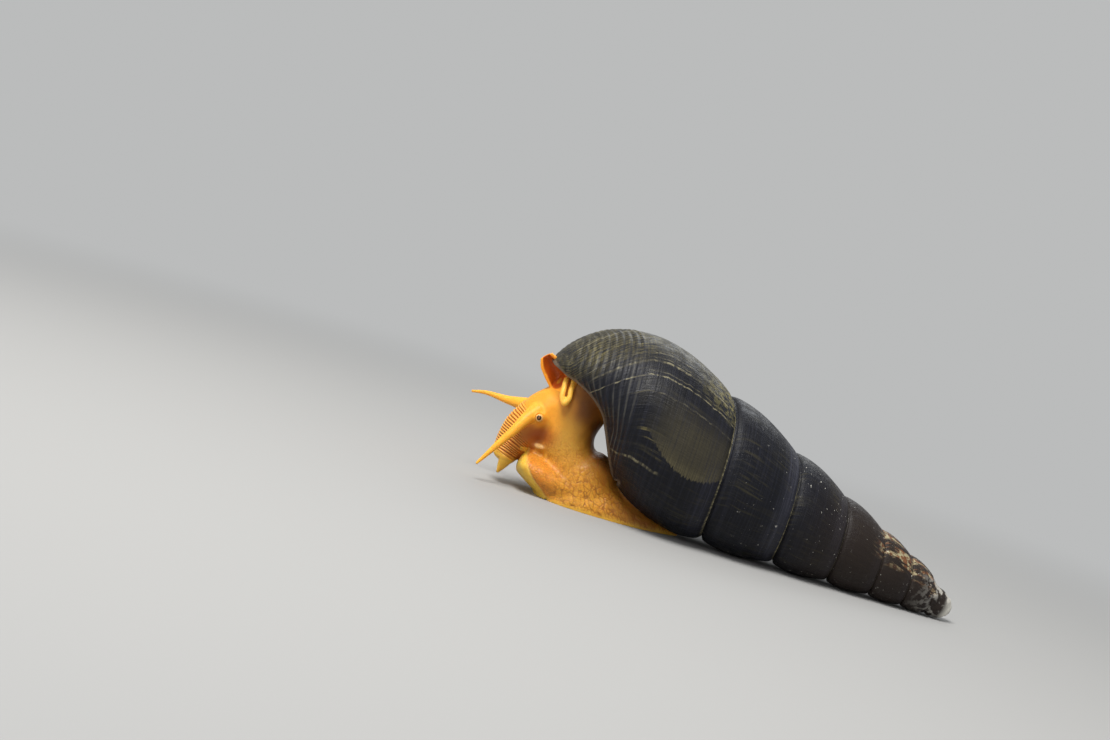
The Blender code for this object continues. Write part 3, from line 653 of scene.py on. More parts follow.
angle, across, distance, radius, height = store_coil(shell.data)
print("turns", round(float(angle.min() / 360.0), 1), "to", round(float(angle.max() / 360.0), 1))

# %% Crests, inside and rim of the shell
first = suture_distance(angle) * WHORL_RATIO
end = base_profile(angle)[2] * suture_distance(angle)
share = 1.0 - (1.0 - np.clip((distance - first) / (end - first), 0.0, 1.0)) ** (2.0 / 3.0)
band = waves(across, BAND_STEP) * (1.0 - soft_step(*BAND_END, across))
crest = np.where(across > 1.0, waves(share * CORD_PLACES), band)
depth = last_radius(angle, distance) - radius
inside = (angle > -100.0) * soft_step(0.25, 0.45, depth) * (distance > 73.0)
rim = np.full(len(angle), FAR)
close = (distance > 78.0) & (np.cos(np.radians(angle)) > -0.3)
spots = np.stack([distance[close], height[close]], axis=1)
_, rim[close] = nearest_on(rounded(LIP_EDGE[1:], 10), spots)
behind_lip = (LIP_ANGLE - lip_lag(np.full_like(angle, LIP_ANGLE), distance) - angle) / 4.0
rim = np.minimum(rim, np.where(angle > 60.0, np.maximum(behind_lip, 0.0), FAR))
store_vector(shell.data, "places", (crest, inside, 1.0 - soft_step(0.2, 0.6, rim)))
shell.data.shade_smooth()
print("corners on the rim", int((rim < 0.5).sum()))

# %% [markdown]
# ## The body as one piece of clay
#
# The solids divide the body into head, neck, foot and so on, but a living snail has one
# skin. So the whole body is modelled again as overlapping lofts, which are oval sections
# along a path. A voxel remesh turns them into one closed surface, as if lumps of clay were
# pressed together, and smoothing rounds the joins. The trunk of the body is joined first,
# coarse and well smoothed. The thin parts, such as tentacles and mantle folds, are added in
# a second, much finer remesh that keeps them crisp.

# %% Forms of the body
# stations are x, y, z, half width, half depth
NECK = ((-6.0, 1.8, 25.0, 6.8, 5.8), (-8.9, 0.6, 18.4, 6.2, 6.4), (-9.0, 0.0, 12.4, 5.6, 5.5),
        (-7.0, 0.0, 7.8, 6.1, 5.6), (-4.2, 0.0, 5.0, 7.0, 7.6), (-3.4, 0.0, 1.6, 7.4, 8.8))
HEAD = ((-8.6, 0.4, 19.0, 4.8, 4.6), (-11.6, 0.2, 17.4, 4.9, 4.7), (-14.3, 0.0, 15.3, 4.7, 4.5),
        (-16.2, -0.1, 12.9, 4.2, 4.25), (-17.3, -0.2, 11.2, 3.9, 4.05), (-18.0, -0.25, 9.6, 3.7, 3.8))
FOOT = ((-10.5, 0.0, 0.6, 5.0, 2.2), (-7.5, 0.0, 0.6, 7.2, 3.6), (-3.0, 0.0, 0.5, 7.9, 4.6),
        (2.0, 0.2, 0.5, 7.6, 5.8), (7.0, 0.6, 0.5, 6.8, 4.6), (11.5, 1.2, 0.5, 5.2, 2.9),
        (17.0, 2.2, 0.4, 2.2, 1.2))
LOBE = ((-5.0, 0.0, 2.8, 7.2, 3.6), (-9.5, 0.0, 3.5, 7.8, 3.6), (-12.7, 0.0, 4.5, 7.8, 3.1),
        (-15.3, 0.0, 5.3, 7.5, 2.4))
THROAT = ((-10.0, -0.8, 9.4, 3.4, 1.3), (-12.6, -1.0, 9.2, 3.1, 1.1), (-14.4, -1.1, 8.6, 2.4, 0.7))
SNOUT = ((-17.5, -0.2, 10.9, 3.8, 3.95), (-18.4, -0.3, 8.7, 3.5, 3.5), (-19.1, -0.35, 6.7, 3.3, 2.95),
         (-19.6, -0.4, 5.0, 3.1, 2.3))
LIP_LOBE = ((-18.9, 5.2, 1.5), (-19.2, 3.8, 1.05), (-19.75, 1.9, 0.28))
LIP_LOBE_SIDE = 2.0
EYES = {"eye_left": (-15.1, -5.15, 14.6), "eye_right": (-16.0, 4.95, 14.9)}
EYE_RADIUS = 0.8
EYE_PAD, PAD_INSET = 1.5, 1.15
TENTACLES = (((-15.6, -3.2, 15.6, 1.75), (-17.5, -5.2, 13.6, 1.2), (-19.2, -6.6, 10.7, 0.86),
              (-21.1, -7.4, 7.7, 0.64), (-22.6, -7.9, 5.2, 0.44), (-23.9, -8.2, 3.1, 0.27)),
             ((-17.0, 3.0, 15.6, 1.75), (-19.6, 4.6, 15.4, 1.25), (-22.5, 5.9, 15.2, 0.80),
              (-26.6, 7.0, 15.2, 0.45), (-29.6, 7.6, 14.6, 0.27)))
SIPHON = ((-12.8, -1.6, 21.6, 2.3), (-14.6, -2.0, 23.4, 2.2), (-16.2, -2.3, 25.0, 2.0),
          (-17.4, -2.5, 26.3, 1.3))
SIPHON_OPENS = np.array((-0.35, -0.93, 0.1))
SIPHON_SPREAD, SIPHON_THICK = 105.0, 0.7
LAPPET = ((-12.4, -4.0, 23.4, 0.5), (-12.3, -5.5, 21.4, 0.52), (-12.1, -6.2, 19.8, 0.54),
          (-11.45, -6.5, 18.8, 0.54), (-10.85, -6.45, 19.8, 0.54), (-10.9, -5.8, 21.4, 0.52),
          (-10.9, -4.2, 23.6, 0.5))
COLLAR_RADIUS = 1.3           # of the rolled edge of the mantle
COLLAR_INSET = 0.9
MANTLE_BACK = 7.0             # degrees that the mantle stays behind the outer lip
MANTLE_INSET = 0.45           # less than the wall, so that the shell cuts the mantle to fit
MANTLE_SHIFT = 1.1            # how far the mantle's edge lies in behind the lip's
print("stations of the trunk", sum(len(form) for form in (NECK, HEAD, FOOT, LOBE, THROAT)))

# %% [markdown]
# ## Tools that make the forms
#
# Three kinds of form are enough for a snail: a loft of oval sections with rounded ends, a
# ball, and a sheet rolled like a gutter, which is how the siphon is made. Metaballs would
# join by themselves, but they give no hold on the width and depth of a section.

# %% Lofts, balls and rolled sheets
CAP_ANGLES = (20.0, 40.0, 60.0, 75.0, 85.0)    # degrees, where a rounded end has its rings


def path_ways(path):
    ways = np.gradient(path, axis=0)
    return ways / np.linalg.norm(ways, axis=1)[:, None]


def loft(stations, ends=(0.6, 0.6), sides=48):
    """Oval sections along a path; ends say how far the caps bulge."""
    rows = rounded([(s + (s[3],))[:5] for s in stations], 6)
    ways = path_ways(rows[:, :3])
    sections = [(rows[k, :3], ways[k], rows[k, 3], rows[k, 4]) for k in range(len(rows))]
    before, after = [], []
    for turn in np.radians(CAP_ANGLES):
        for at, sign, bulge, group in ((0, -1.0, ends[0], before), (-1, 1.0, ends[1], after)):
            centre, way, wide, deep = sections[at]
            reach = sign * bulge * min(wide, deep) * math.sin(turn)
            group.append((centre + way * reach, way, wide * math.cos(turn), deep * math.cos(turn)))
    sections = before[::-1] * (ends[0] > 0) + sections + after * (ends[1] > 0)
    turn = 2.0 * np.pi * np.arange(sides) / sides
    points = []
    for centre, way, wide, deep in sections:
        side = np.cross((0.0, 1.0, 0.0), way)
        side /= np.linalg.norm(side)
        across = np.cross(way, side)
        points.append(centre + wide * np.cos(turn)[:, None] * across
                      + deep * np.sin(turn)[:, None] * side)
    return section_grid(np.vstack(points), len(sections), sides)


def globe(centre, radius, sides=32, rows=16):
    polar = np.pi * np.arange(1, rows) / rows
    turn = 2.0 * np.pi * np.arange(sides) / sides
    a, b = np.meshgrid(polar, turn, indexing="ij")
    unit = np.stack([np.sin(a) * np.cos(b), np.sin(a) * np.sin(b), -np.cos(a)], axis=-1)
    return section_grid((np.array(centre) + radius * unit).reshape(-1, 3), rows - 1, sides)


def rolled_sheet(stations, opens, spread, thick, arc=24):
    """A sheet with the section of a C along a path."""
    rows = rounded(stations, 6)
    points = []
    for centre, way, radius in zip(rows[:, :3], path_ways(rows[:, :3]), rows[:, 3]):
        spine = -opens + way * np.dot(opens, way)
        spine /= np.linalg.norm(spine)
        flank = np.cross(way, spine)
        turn = np.radians(np.linspace(-spread, spread, arc + 1))
        for a, r in ((turn, radius), (turn[::-1], radius - thick)):
            points.append(centre + r * (np.cos(a)[:, None] * spine + np.sin(a)[:, None] * flank))
    return section_grid(np.vstack(points), len(rows), 2 * (arc + 1))


print("form tools ready")

# %% [markdown]
# ## Mantle
#
# The mantle is the skin that lines the mouth of the shell and builds it. Its edge is rolled
# and lies a little behind the outer lip. Both the filling and the roll are worked out from
# the coil itself, so they follow the mouth without any fitting, and the fine shell later
# cuts them to its own wall.

# %% Mantle forms
def mantle_stop(distance):
    """Angle at which the mantle ends, a little inside the outer lip."""
    return LIP_ANGLE - MANTLE_BACK - lip_lag(np.array(LIP_ANGLE), distance)


def collar_roll():
    """The rolled edge of the mantle along the inside of the outer lip."""
    reach = np.linspace(MOUTH_FROM + 1.0, MOUTH_TO - 4.0, 9)
    stop = mantle_stop(reach)
    radius = last_radius(stop, reach) - COLLAR_INSET - 0.8 * COLLAR_RADIUS
    return loft([(*middle, COLLAR_RADIUS) for middle in coil_point(stop, reach, radius)], sides=32)


def mantle_fill(rows=36, arc=60):
    """The flesh that fills the mouth of the shell up to just inside its lip."""
    points = []
    for distance in np.linspace(MOUTH_FROM + 0.3, MOUTH_TO - 2.0, rows):
        reach = np.full(arc + 1, distance)
        angle = np.linspace(-85.0, float(mantle_stop(distance)), arc + 1)
        radius = np.maximum(last_radius(np.maximum(angle, -75.0), reach) - MANTLE_INSET, 0.6)
        points.append((CONE_TIP + distance * ALONG)[None, :])
        points.append(coil_point(angle, reach, radius))
    filled = make_mesh("mantle_fill", *section_grid(np.vstack(points), rows, arc + 2))
    return cut(tidy_mesh(filled), lip_plate(MANTLE_SHIFT))


print("roll of the mantle", len(collar_roll()[0]), "points")

# %% Joining the forms
TRUNK_GRAIN = 0.45
FINE_GRAIN = 0.15


def merge(name, forms, others=()):
    """One object that holds all the forms, not yet joined."""
    work = bmesh.new()
    for points, faces in forms:
        item = make_mesh("form", points, faces)
        work.from_mesh(tidy_mesh(item).data)
        bpy.data.objects.remove(item, do_unlink=True)
    for item in others:
        work.from_mesh(item.data)
        bpy.data.objects.remove(item, do_unlink=True)
    mesh = bpy.data.meshes.new(name)
    work.to_mesh(mesh)
    work.free()
    item = bpy.data.objects.new(name, mesh)
    bpy.context.collection.objects.link(item)
    return item


def press_together(item, grain, rounds):
    remesh = item.modifiers.new("remesh", "REMESH")
    remesh.mode = "VOXEL"
    remesh.voxel_size = grain * MM
    smooth = item.modifiers.new("smooth", "SMOOTH")
    smooth.factor = 0.5
    smooth.iterations = rounds
    settle(item)
    return item


trunk_forms = [loft(NECK, (0.9, 0.1)), loft(HEAD, (0.2, 0.3)), loft(FOOT, (0.5, 0.5)),
               loft(LOBE, (0.3, 0.5)), loft(THROAT, (0.3, 0.6)), collar_roll()]
for x, y, z in EYES.values():
    trunk_forms.append(globe((x, y - math.copysign(PAD_INSET, y), z), EYE_PAD))
trunk = press_together(merge("trunk", trunk_forms, [mantle_fill()]), TRUNK_GRAIN, 10)

thin_forms = [loft(SNOUT, (0.3, 0.45)), rolled_sheet(SIPHON, SIPHON_OPENS, SIPHON_SPREAD, SIPHON_THICK),
              loft(LAPPET, (0.0, 0.0), 24)]
thin_forms += [loft(rod, (0.0, 0.6), 32) for rod in TENTACLES]
for side in (-1.0, 1.0):
    rod = tuple((x, SNOUT[-1][1] + side * LIP_LOBE_SIDE, z, r) for x, z, r in LIP_LOBE)
    thin_forms.append(loft(rod, (0.3, 0.5), 24))
skin = press_together(merge("skin", thin_forms, [trunk]), FINE_GRAIN, 3)
print("skin", len(skin.data.vertices), "points")

# %% [markdown]
# ## Fitting the body to the shell and the floor
#
# The body is cut back where the shell is, with a copy of the fine shell, so the two meet
# without passing through each other. A block takes off what reaches below the floor, which
# leaves the flat sole that the snail rests on. Only the largest piece of the result is kept.

# %% Fitting the skin
def copy_of(item):
    twin = bpy.data.objects.new(item.name + "_cutter", item.data.copy())
    bpy.context.collection.objects.link(twin)
    return twin


def keep_largest(item):
    work = bmesh.new()
    work.from_mesh(item.data)
    left = set(work.verts)
    pieces = []
    while left:
        piece = [left.pop()]
        for vertex in piece:
            for edge in vertex.link_edges:
                other = edge.other_vert(vertex)
                if other in left:
                    left.discard(other)
                    piece.append(other)
        pieces.append(piece)
    pieces.sort(key=len)
    for piece in pieces[:-1]:
        bmesh.ops.delete(work, geom=piece, context="VERTS")
    work.to_mesh(item.data)
    work.free()
    return len(pieces) - 1


ground = make_mesh("ground", [(x, y, z) for x in (-40, 60) for y in (-40, 40) for z in (-20, 0)],
                   [(0, 1, 3, 2), (4, 6, 7, 5), (0, 4, 5, 1), (2, 3, 7, 6), (0, 2, 6, 4), (1, 5, 7, 3)])
cut(skin, tidy_mesh(ground))
cut(skin, copy_of(shell))
print("loose pieces removed", keep_largest(skin), "points left", len(skin.data.vertices))

# %% [markdown]
# ## Finer skin where the detail is
#
# The folds of the snout are less than half a millimetre apart, too fine for the grain of
# the remesh. Instead of making the whole skin finer, only the faces of the head are
# divided, which doubles the detail exactly where people look first.

# %% Dividing the head's faces
HEAD_FRONT = -14.2            # everything before this x belongs to the fine zone
HEAD_LOW = 3.0                # and everything above this height


def divide_head(item):
    work = bmesh.new()
    work.from_mesh(item.data)
    chosen = [edge for edge in work.edges
              if all(v.co.x < HEAD_FRONT * MM and v.co.z > HEAD_LOW * MM for v in edge.verts)]
    bmesh.ops.subdivide_edges(work, edges=chosen, cuts=1, use_grid_fill=True)
    work.to_mesh(item.data)
    work.free()


divide_head(skin)
print("skin now", len(skin.data.vertices), "points")

# %% [markdown]
# ## Folds of the snout
#
# A rabbit snail's snout shortens like a concertina, so its upper side and its flanks carry close cross
# folds, while the underside is smooth. The folds follow the length of a line through the snout. Each
# point of the skin finds its place on this line, and a cosine wave of that length moves it in or out
# along its normal. The same wave is kept as a value on the points, so that painted highlights on the
# crests and painted shade in the grooves can be laid in register.

# %% Place of each point on the snout
SNOUT_END = (-19.9, -0.4, 3.6)
SNOUT_LINE = rounded([s[:3] for s in HEAD[2:5] + SNOUT[1:]] + [SNOUT_END], 30)

points, normals = read_points(skin.data)
x, y, z = points.T
front = x < HEAD_FRONT + 1.5
nearest, away = nearest_on(SNOUT_LINE, points[front])
gaps = np.linalg.norm(np.diff(SNOUT_LINE, axis=0), axis=1)
ways = path_ways(SNOUT_LINE)[nearest]
offset = points[front] - SNOUT_LINE[nearest]
# square to the line, and towards the front of the hanging snout
rise = np.stack([ways[:, 2], np.zeros(len(ways)), -ways[:, 0]], axis=1)
rise *= np.sign(-rise[:, 0:1] + 1e-9)
rise /= np.linalg.norm(rise, axis=1)[:, None]
along_snout, upper_side = np.zeros(len(points)), np.zeros(len(points))
from_line = np.full(len(points), FAR)
along_snout[front] = np.concatenate([[0.0], np.cumsum(gaps)])[nearest] + (offset * ways).sum(axis=1)
from_line[front] = away
upper_side[front] = (offset * rise).sum(axis=1) / np.maximum(away, 0.2)
print("longest way along the snout", round(float(along_snout.max()), 1), "mm")

# %% Masks of the tentacles and the snout's folds
FOLD_STEP = 0.47
FOLDS_FROM = (6.2, 2.0)       # length along the snout at which they start, below and on top
FOLDS_END = (10.6, 11.6)


def gap_to_rod(rod, spots):
    """Distance of points from the side of a round rod, below 0 inside it."""
    line = rounded(rod, 10)
    nearest, away = nearest_on(line[:, :3], spots)
    return away - line[nearest, 3]


rod_gap = np.full(len(points), FAR)
for rod in TENTACLES:
    rod_gap[front] = np.minimum(rod_gap[front], gap_to_rod(rod, points[front]))
tentacle = 1.0 - soft_step(0.08, 0.45, rod_gap)
on_snout = (1.0 - soft_step(4.5, 5.2, from_line)) * (1.0 - tentacle)
starts = mix(*FOLDS_FROM, soft_step(-0.2, 0.75, upper_side))
folded = on_snout * soft_step(starts - 0.4, starts + 1.2, along_snout)
folded = folded * (1.0 - soft_step(*FOLDS_END, along_snout)) * soft_step(-0.85, -0.45, upper_side)
wobble = 0.07 * np.sin(1.3 * y + 0.7)
wobble = wobble + 0.12 * np.sin(2.4 * z + 1.1 * x) * (1.0 - soft_step(0.1, 0.7, upper_side))
fold_wave = 1.0 - waves(along_snout + wobble, FOLD_STEP) ** 1.8
print("points on folds", int((folded > 0.5).sum()))

# %% [markdown]
# ## Wrinkles of the foot
#
# The skin of the foot and neck is cut by fine grooves into small cushions, larger towards
# the back. A cell pattern gives this net: scatter points in space, and a groove lies where
# two of them are equally near. The positions are bent a little by noise first, so that the
# cushions are uneven. Grooves are deep on the flanks of the foot and fade on the neck.
# The vector noise takes its offsets from a seed, which is the clock until it is set, so it
# is set here and the wrinkles come out the same each time.

# %% Net of wrinkles
WRINKLE_SEED = 5
LARGE_CUSHION, FINE_CUSHION = 0.86, 0.46
GROOVE_WIDTH = 0.11           # as a share of a cushion
# height and x of the step behind the pale rim of the foot's front lobe
LOBE_RIM = ((0.4, -9.3), (1.7, -10.9), (3.0, -12.5), (4.3, -13.7), (5.8, -14.6), (7.0, -15.2))
noise.seed_set(WRINKLE_SEED)


def cell_grooves(points, size, seed):
    """1 in the grooves between cells, 0 on the cushions."""
    shift = Vector((seed * 7.3, seed * 3.1, seed * 5.7))
    grooves = np.empty(len(points))
    for k, (px, py, pz) in enumerate(points):
        spot = Vector((px, py, pz)) / size + shift
        bent = spot + 0.5 * noise.noise_vector(spot * 0.9)
        near = noise.voronoi(bent)[0]
        grooves[k] = near[1] - near[0]
    return np.exp(-(grooves / GROOVE_WIDTH) ** 2)


before_rim = np.interp(z, *np.array(LOBE_RIM).T) - x
on_lobe = (x > -16.9) * (z < 8.2) * (from_line > 3.4)
rim_band = on_lobe * soft_step(0.0, 0.2, before_rim)
wrinkled = (1.0 - soft_step(8.5, 15.5, z)) * soft_step(0.1, 0.8, z) * (1.0 - rim_band)
wrinkled = wrinkled * (1.0 - on_snout * (x < -13.5)) * (1.0 - tentacle) * (x > -17.0)
wanted = wrinkled > 0.02
large, fine = np.zeros(len(points)), np.zeros(len(points))
slanted = np.stack([x * 0.8 + z * 0.6, y, (z * 0.8 - x * 0.6) * 0.62], axis=1)
large[wanted] = cell_grooves(slanted[wanted], LARGE_CUSHION, 1)
fine[wanted] = cell_grooves(slanted[wanted], FINE_CUSHION, 2)
rearward = soft_step(-13.0, -4.0, x) * (1.0 - soft_step(5.0, 10.0, z))
drift = 2.1 * x + 1.7 * z + 1.2 * np.sin(1.6 * y)
patchy = 0.5 + 0.5 * np.sin(drift) * np.sin(1.5 * z - 1.1 * x + 0.9 * y)
strength = wrinkled * mix(0.45, 1.0, patchy)
# this mask sets both the depth of the wrinkle grooves and the painted shade laid in them
shaded_groove = strength * np.maximum(large * mix(0.30, 1.0, rearward), fine * mix(0.85, 0.35, rearward))
print("wrinkled points", int(wanted.sum()))

# %% [markdown]
# ## Moving the skin
#
# All reliefs are now added up and every point moves once, along its normal: snout folds,
# wrinkles, the step behind the pale front rim of the foot, the slit of the mouth between
# the two lip lobes, and a low ring round each eye. Slow noise adds the slight unevenness
# that keeps a skin from looking moulded.

# %% Relief of the skin
FOLD_HEIGHT = 0.13
GROOVE_DEPTH = 0.12
STEP_DEPTH, RIM_HEIGHT = 0.20, 0.10    # of the front lobe's rim and the step behind it
SLIT_DEPTH = 0.45
EYE_RING_HEIGHT = 0.10
UNEVENNESS = 0.05

move = FOLD_HEIGHT * folded * (fold_wave - 0.5) * 2.0
move -= GROOVE_DEPTH * shaded_groove
move -= STEP_DEPTH * on_lobe * bell(before_rim, 0.0, 0.22)
move += RIM_HEIGHT * rim_band * soft_step(0.2, 0.6, before_rim)
mouth_slit = bell(y, SNOUT[-1][1], 0.35) * (z < 5.2) * (x < -17.5)
mouth_slit = mouth_slit * soft_step(*FOLDS_END, along_snout)
move -= SLIT_DEPTH * mouth_slit
eye_gaps = [np.linalg.norm(points - np.array(centre), axis=1) for centre in EYES.values()]
for eye_gap in eye_gaps:
    move += EYE_RING_HEIGHT * bell(eye_gap, 1.02, 0.16)
slow_waves = np.sin(1.9 * x + 1.0) * np.sin(2.3 * y) * np.sin(1.7 * z + 2.0)
move += UNEVENNESS * slow_waves * (1.0 - tentacle)
moved = points + normals * move[:, None]
moved[:, 2] = np.maximum(moved[:, 2], 0.0)
write_points(skin.data, moved)
print("largest moves", round(float(move.min()), 2), round(float(move.max()), 2), "mm")

# %% [markdown]
# ## Colours of the skin
#
# The animal is golden orange, but no two places are quite alike: ochre neck, paler tentacles, an orange
# front lobe with a yellow rim, and deep orange inside the mantle fold. Painted shade darkens the skin
# in red-brown in the throat below the eye, on the neck beside the shell and in the mouth of the shell,
# and painted highlights and painted shade follow the folds and wrinkles. Each colour is laid over the
# last with a soft mask, like glazes of paint. The result is stored as a colour on the points. The
# material then only has to add the fine mottling.

# %% Paints
SKIN_TONES = {
    # red, green and blue of each paint, from 0 to 255; the shade, mouth, throat, snout underside and
    # groove paints are painted shade, and the fold crest paint is a painted highlight
    "ochre": (206, 146, 44), "neck": (190, 140, 50), "head": (232, 158, 44),
    "nape": (214, 142, 40), "front_foot": (214, 138, 44), "painted_shade": (92, 50, 16),
    "painted_deep_shade": (48, 24, 12), "mouth_shade": (176, 116, 38), "mouth_deep_shade": (104, 60, 24),
    "slot": (206, 130, 40), "throat_shade": (150, 72, 24), "red_throat_shade": (148, 68, 22),
    "snout_below_shade": (160, 82, 26), "snout_end": (222, 176, 62), "lips": (226, 178, 64),
    "fold_crest_highlight": (238, 176, 82), "fold_groove_shade": (156, 80, 25), "chip": (238, 200, 134),
    "lobe": (214, 134, 44), "rim": (224, 180, 66), "rim_edge": (184, 172, 92),
    "rim_line": (236, 200, 110), "sole_edge": (226, 182, 70), "shaded_groove": (142, 84, 28),
    "deep_groove_shade": (108, 58, 20), "tentacle": (244, 176, 54), "siphon": (242, 158, 38),
    "siphon_inside": (176, 72, 10), "lappet": (242, 186, 74), "round_eye": (242, 162, 44),
}
tone = np.tile(srgb(*SKIN_TONES["ochre"]), (len(points), 1))


def glaze(*layers):
    """Lay paints over the tone, one after another. A layer is a paint, a mask and a share."""
    for paint, mask, share in layers:
        cover = (np.clip(mask, 0.0, 1.0) * share)[:, None]
        tone[:] = tone + (srgb(*SKIN_TONES[paint]) - tone) * cover


def near_spot(centre, reach, core=0.35):
    """1 in the core of a spot, fading to 0 at the reach, which may differ for x, y and z."""
    return 1.0 - soft_step(core, 1.0, np.linalg.norm((points - centre) / reach, axis=1))


print("paints", len(SKIN_TONES))

# %% [markdown]
# ## Large areas of colour
#
# Painted shade darkens the skin towards the shell, on top of the shadow that the shell casts in the
# render. Soft steps of height and length are enough where colours change slowly, and this painted shade
# uses the distance from a line along the shell. Inside the mouth of the shell the painted shade deepens
# towards the back, and spots with their own width, depth and height give painted red-brown shade in the
# throat under the head.

# %% Neck, throat and shade
# x and z along the edge of the shell, which shades the body
SHADE_LINE = ((-10.6, 23.0), (-7.4, 19.8), (-4.6, 16.6), (-3.4, 14.1), (-2.2, 11.4),
              (0.7, 9.0), (3.8, 6.4), (7.2, 3.4), (10.5, 1.6))

_, shade_gap = nearest_on(rounded(SHADE_LINE, 12), points[:, (0, 2)])
near_side = 1.0 - soft_step(-2.0, 2.5, y)
in_mouth = soft_step(15.0, 18.0, z) * (1.0 - soft_step(-5.0, -3.0, y))
glaze(
    ("neck", soft_step(6.0, 12.0, z), 1.0),
    ("head", soft_step(-9.5, -12.5, x) * soft_step(9.5, 13.0, z), 1.0),
    ("nape", soft_step(17.0, 20.0, z) * soft_step(-14.5, -11.0, x), 1.0),
    ("front_foot", soft_step(-6.5, -10.0, x) * (1.0 - soft_step(6.0, 8.5, z)), 1.0),
    # painted shade: the near side of the skin darkens close to the shell's edge, and darker still right
    # beside it
    ("painted_shade", (1.0 - soft_step(0.3, 5.6, shade_gap)) * near_side, 0.78),
    ("painted_deep_shade", (1.0 - soft_step(0.2, 2.0, shade_gap)) * near_side * soft_step(7.0, 10.0, z), 0.8),
    # painted shade inside the mouth of the shell, deepening towards the back of the mouth
    ("mouth_shade", in_mouth * soft_step(-12.2, -9.8, x), 0.7),
    ("mouth_deep_shade", in_mouth * soft_step(-10.0, -7.6, x), 0.85),
    ("slot", near_spot((-11.7, -4.9, 20.8), (1.5, 2.6, 2.8), 0.5), 0.85),
    # painted shade: a red-brown darkening in the recess under the head, below the eye
    ("throat_shade", near_spot((-13.4, -4.4, 11.6), (4.2, 9.0, 3.4), 0.1), 0.75),
    ("red_throat_shade", near_spot((-14.7, -4.2, 11.0), (3.6, 9.5, 3.5), 0.15), 0.85),
)
print("mean tone", [round(float(v), 3) for v in tone.mean(axis=0)])

# %% [markdown]
# ## Colours that follow the relief
#
# Folds and wrinkles get painted highlights on the crests of the snout's folds, stronger on their upper
# side, and painted shade in their grooves, deeper at the back of the foot. The rim of the foot's front
# lobe has a yellow colour of its own. The masks that moved the skin are used again, so that relief and
# colour stay in register. A painted image would have to be lined up with the mesh by hand.

# %% Snout, foot and wrinkles
below = 1.0 - soft_step(0.0, 0.8, upper_side)
lips = (z < 4.6) * (x < -17.6)
crest_highlight_share = mix(0.55, 0.85, soft_step(0.0, 0.6, upper_side))
glaze(
    # painted shade on the underside of the snout
    ("snout_below_shade", on_snout * soft_step(4.0, 7.0, along_snout) * below, 0.85),
    ("snout_end", on_snout * soft_step(10.3, 11.6, along_snout), 0.9),
    ("lips", lips, 0.9),
    # painted highlight on the crests of the snout's folds, stronger on the upper side
    ("fold_crest_highlight", folded * fold_wave * crest_highlight_share, 1.0),
    # painted shade in the grooves between the folds
    ("fold_groove_shade", folded * (1.0 - fold_wave), 0.85),
    ("chip", near_spot((-13.5, -4.0, 9.25), (1.3, 5.0, 0.55), 0.5), 0.85),
    ("lobe", on_lobe * soft_step(-3.0, 0.0, before_rim), 0.7),
    ("rim", rim_band, 1.0),
    ("rim_edge", rim_band * soft_step(1.0, 1.9, before_rim) * soft_step(2.0, 5.0, z), 0.5),
    ("rim_line", on_lobe * bell(before_rim, 0.0, 0.25), 0.6),
    ("sole_edge", 1.0 - soft_step(0.1, 1.3, z), 0.6),
    # painted shade in the grooves of the wrinkles, darker towards the back of the foot
    ("shaded_groove", shaded_groove, 0.8),
    ("deep_groove_shade", shaded_groove * rearward, 0.65),
    ("tentacle", tentacle, 1.0),
)
print("points on the lips", int(lips.sum()))

# %% [markdown]
# ## Colours of the thin parts
#
# The siphon, the lappet of the mantle and the collars of the eyes are small and lie apart,
# so each is found by its distance from the line or the point that it was made from.

# %% Siphon, lappet and the skin round the eyes
high = z > 20.5
siphon_gap = np.full(len(points), FAR)
siphon_gap[high] = gap_to_rod(SIPHON, points[high])
on_siphon = (siphon_gap < 0.35) * (siphon_gap > -1.6) * (x < -12.6) * (y < 1.2) * high
behind_head = z > 17.0
_, away = nearest_on(rounded([s[:3] for s in LAPPET], 10), points[behind_head])
on_lappet = np.zeros(len(points))
on_lappet[behind_head] = 1.0 - soft_step(0.56, 0.76, away)
glaze(
    ("siphon", on_siphon, 1.0),
    ("siphon_inside", on_siphon * (1.0 - soft_step(-0.75, -0.35, siphon_gap)), 1.0),
    ("lappet", on_lappet, 1.0),
)
for eye_gap in eye_gaps:
    glaze(("round_eye", 1.0 - soft_step(1.2, 3.0, eye_gap), 0.55))
colour = skin.data.attributes.new("tone", "FLOAT_COLOR", "POINT")
colour.data.foreach_set("color", np.hstack([tone, np.ones((len(tone), 1))]).ravel())
skin.data.shade_smooth()
print("painted", len(tone), "points")

# %% [markdown]
# ## Eyes
#
# The eyes of this snail are tiny: a black ring with a brown middle in a pale yellow
# collar, under a wet skin. Each is a ball seated in its swelling. The distance of a point
# from the line of sight tells the material which ring it belongs to.

# %% Making the eyes
EYE_LOOKS = {"eye_left": (-0.10, -1.0, 0.12), "eye_right": (-0.10, 1.0, 0.12)}


def make_eye(name):
    centre = np.array(EYES[name])
    eye = tidy_mesh(make_mesh(name + "_wet", *globe(centre, EYE_RADIUS * 0.985, 64, 32)))
    points, _ = read_points(eye.data)
    look = np.array(EYE_LOOKS[name]) / np.linalg.norm(EYE_LOOKS[name])
    local = points - centre
    facing = local @ look
    ring = np.linalg.norm(local - facing[:, None] * look, axis=1)
    ring = np.where(facing > 0.0, ring, EYE_RADIUS * 1.2)
    field = eye.data.attributes.new("ring", "FLOAT", "POINT")
    field.data.foreach_set("value", ring)
    eye.data.shade_smooth()
    return eye


eyes = {name: make_eye(name) for name in EYES}
print("eyes", ", ".join(eyes))

# %% [markdown]
# ## Operculum
#
# The operculum is the horny lid on the tail of the foot, with which the snail closes its
# door. It is a thin oval plate with growth rings round a centre near one end. The rings
# are waves of the distance from that centre, added to the height of a domed grid.

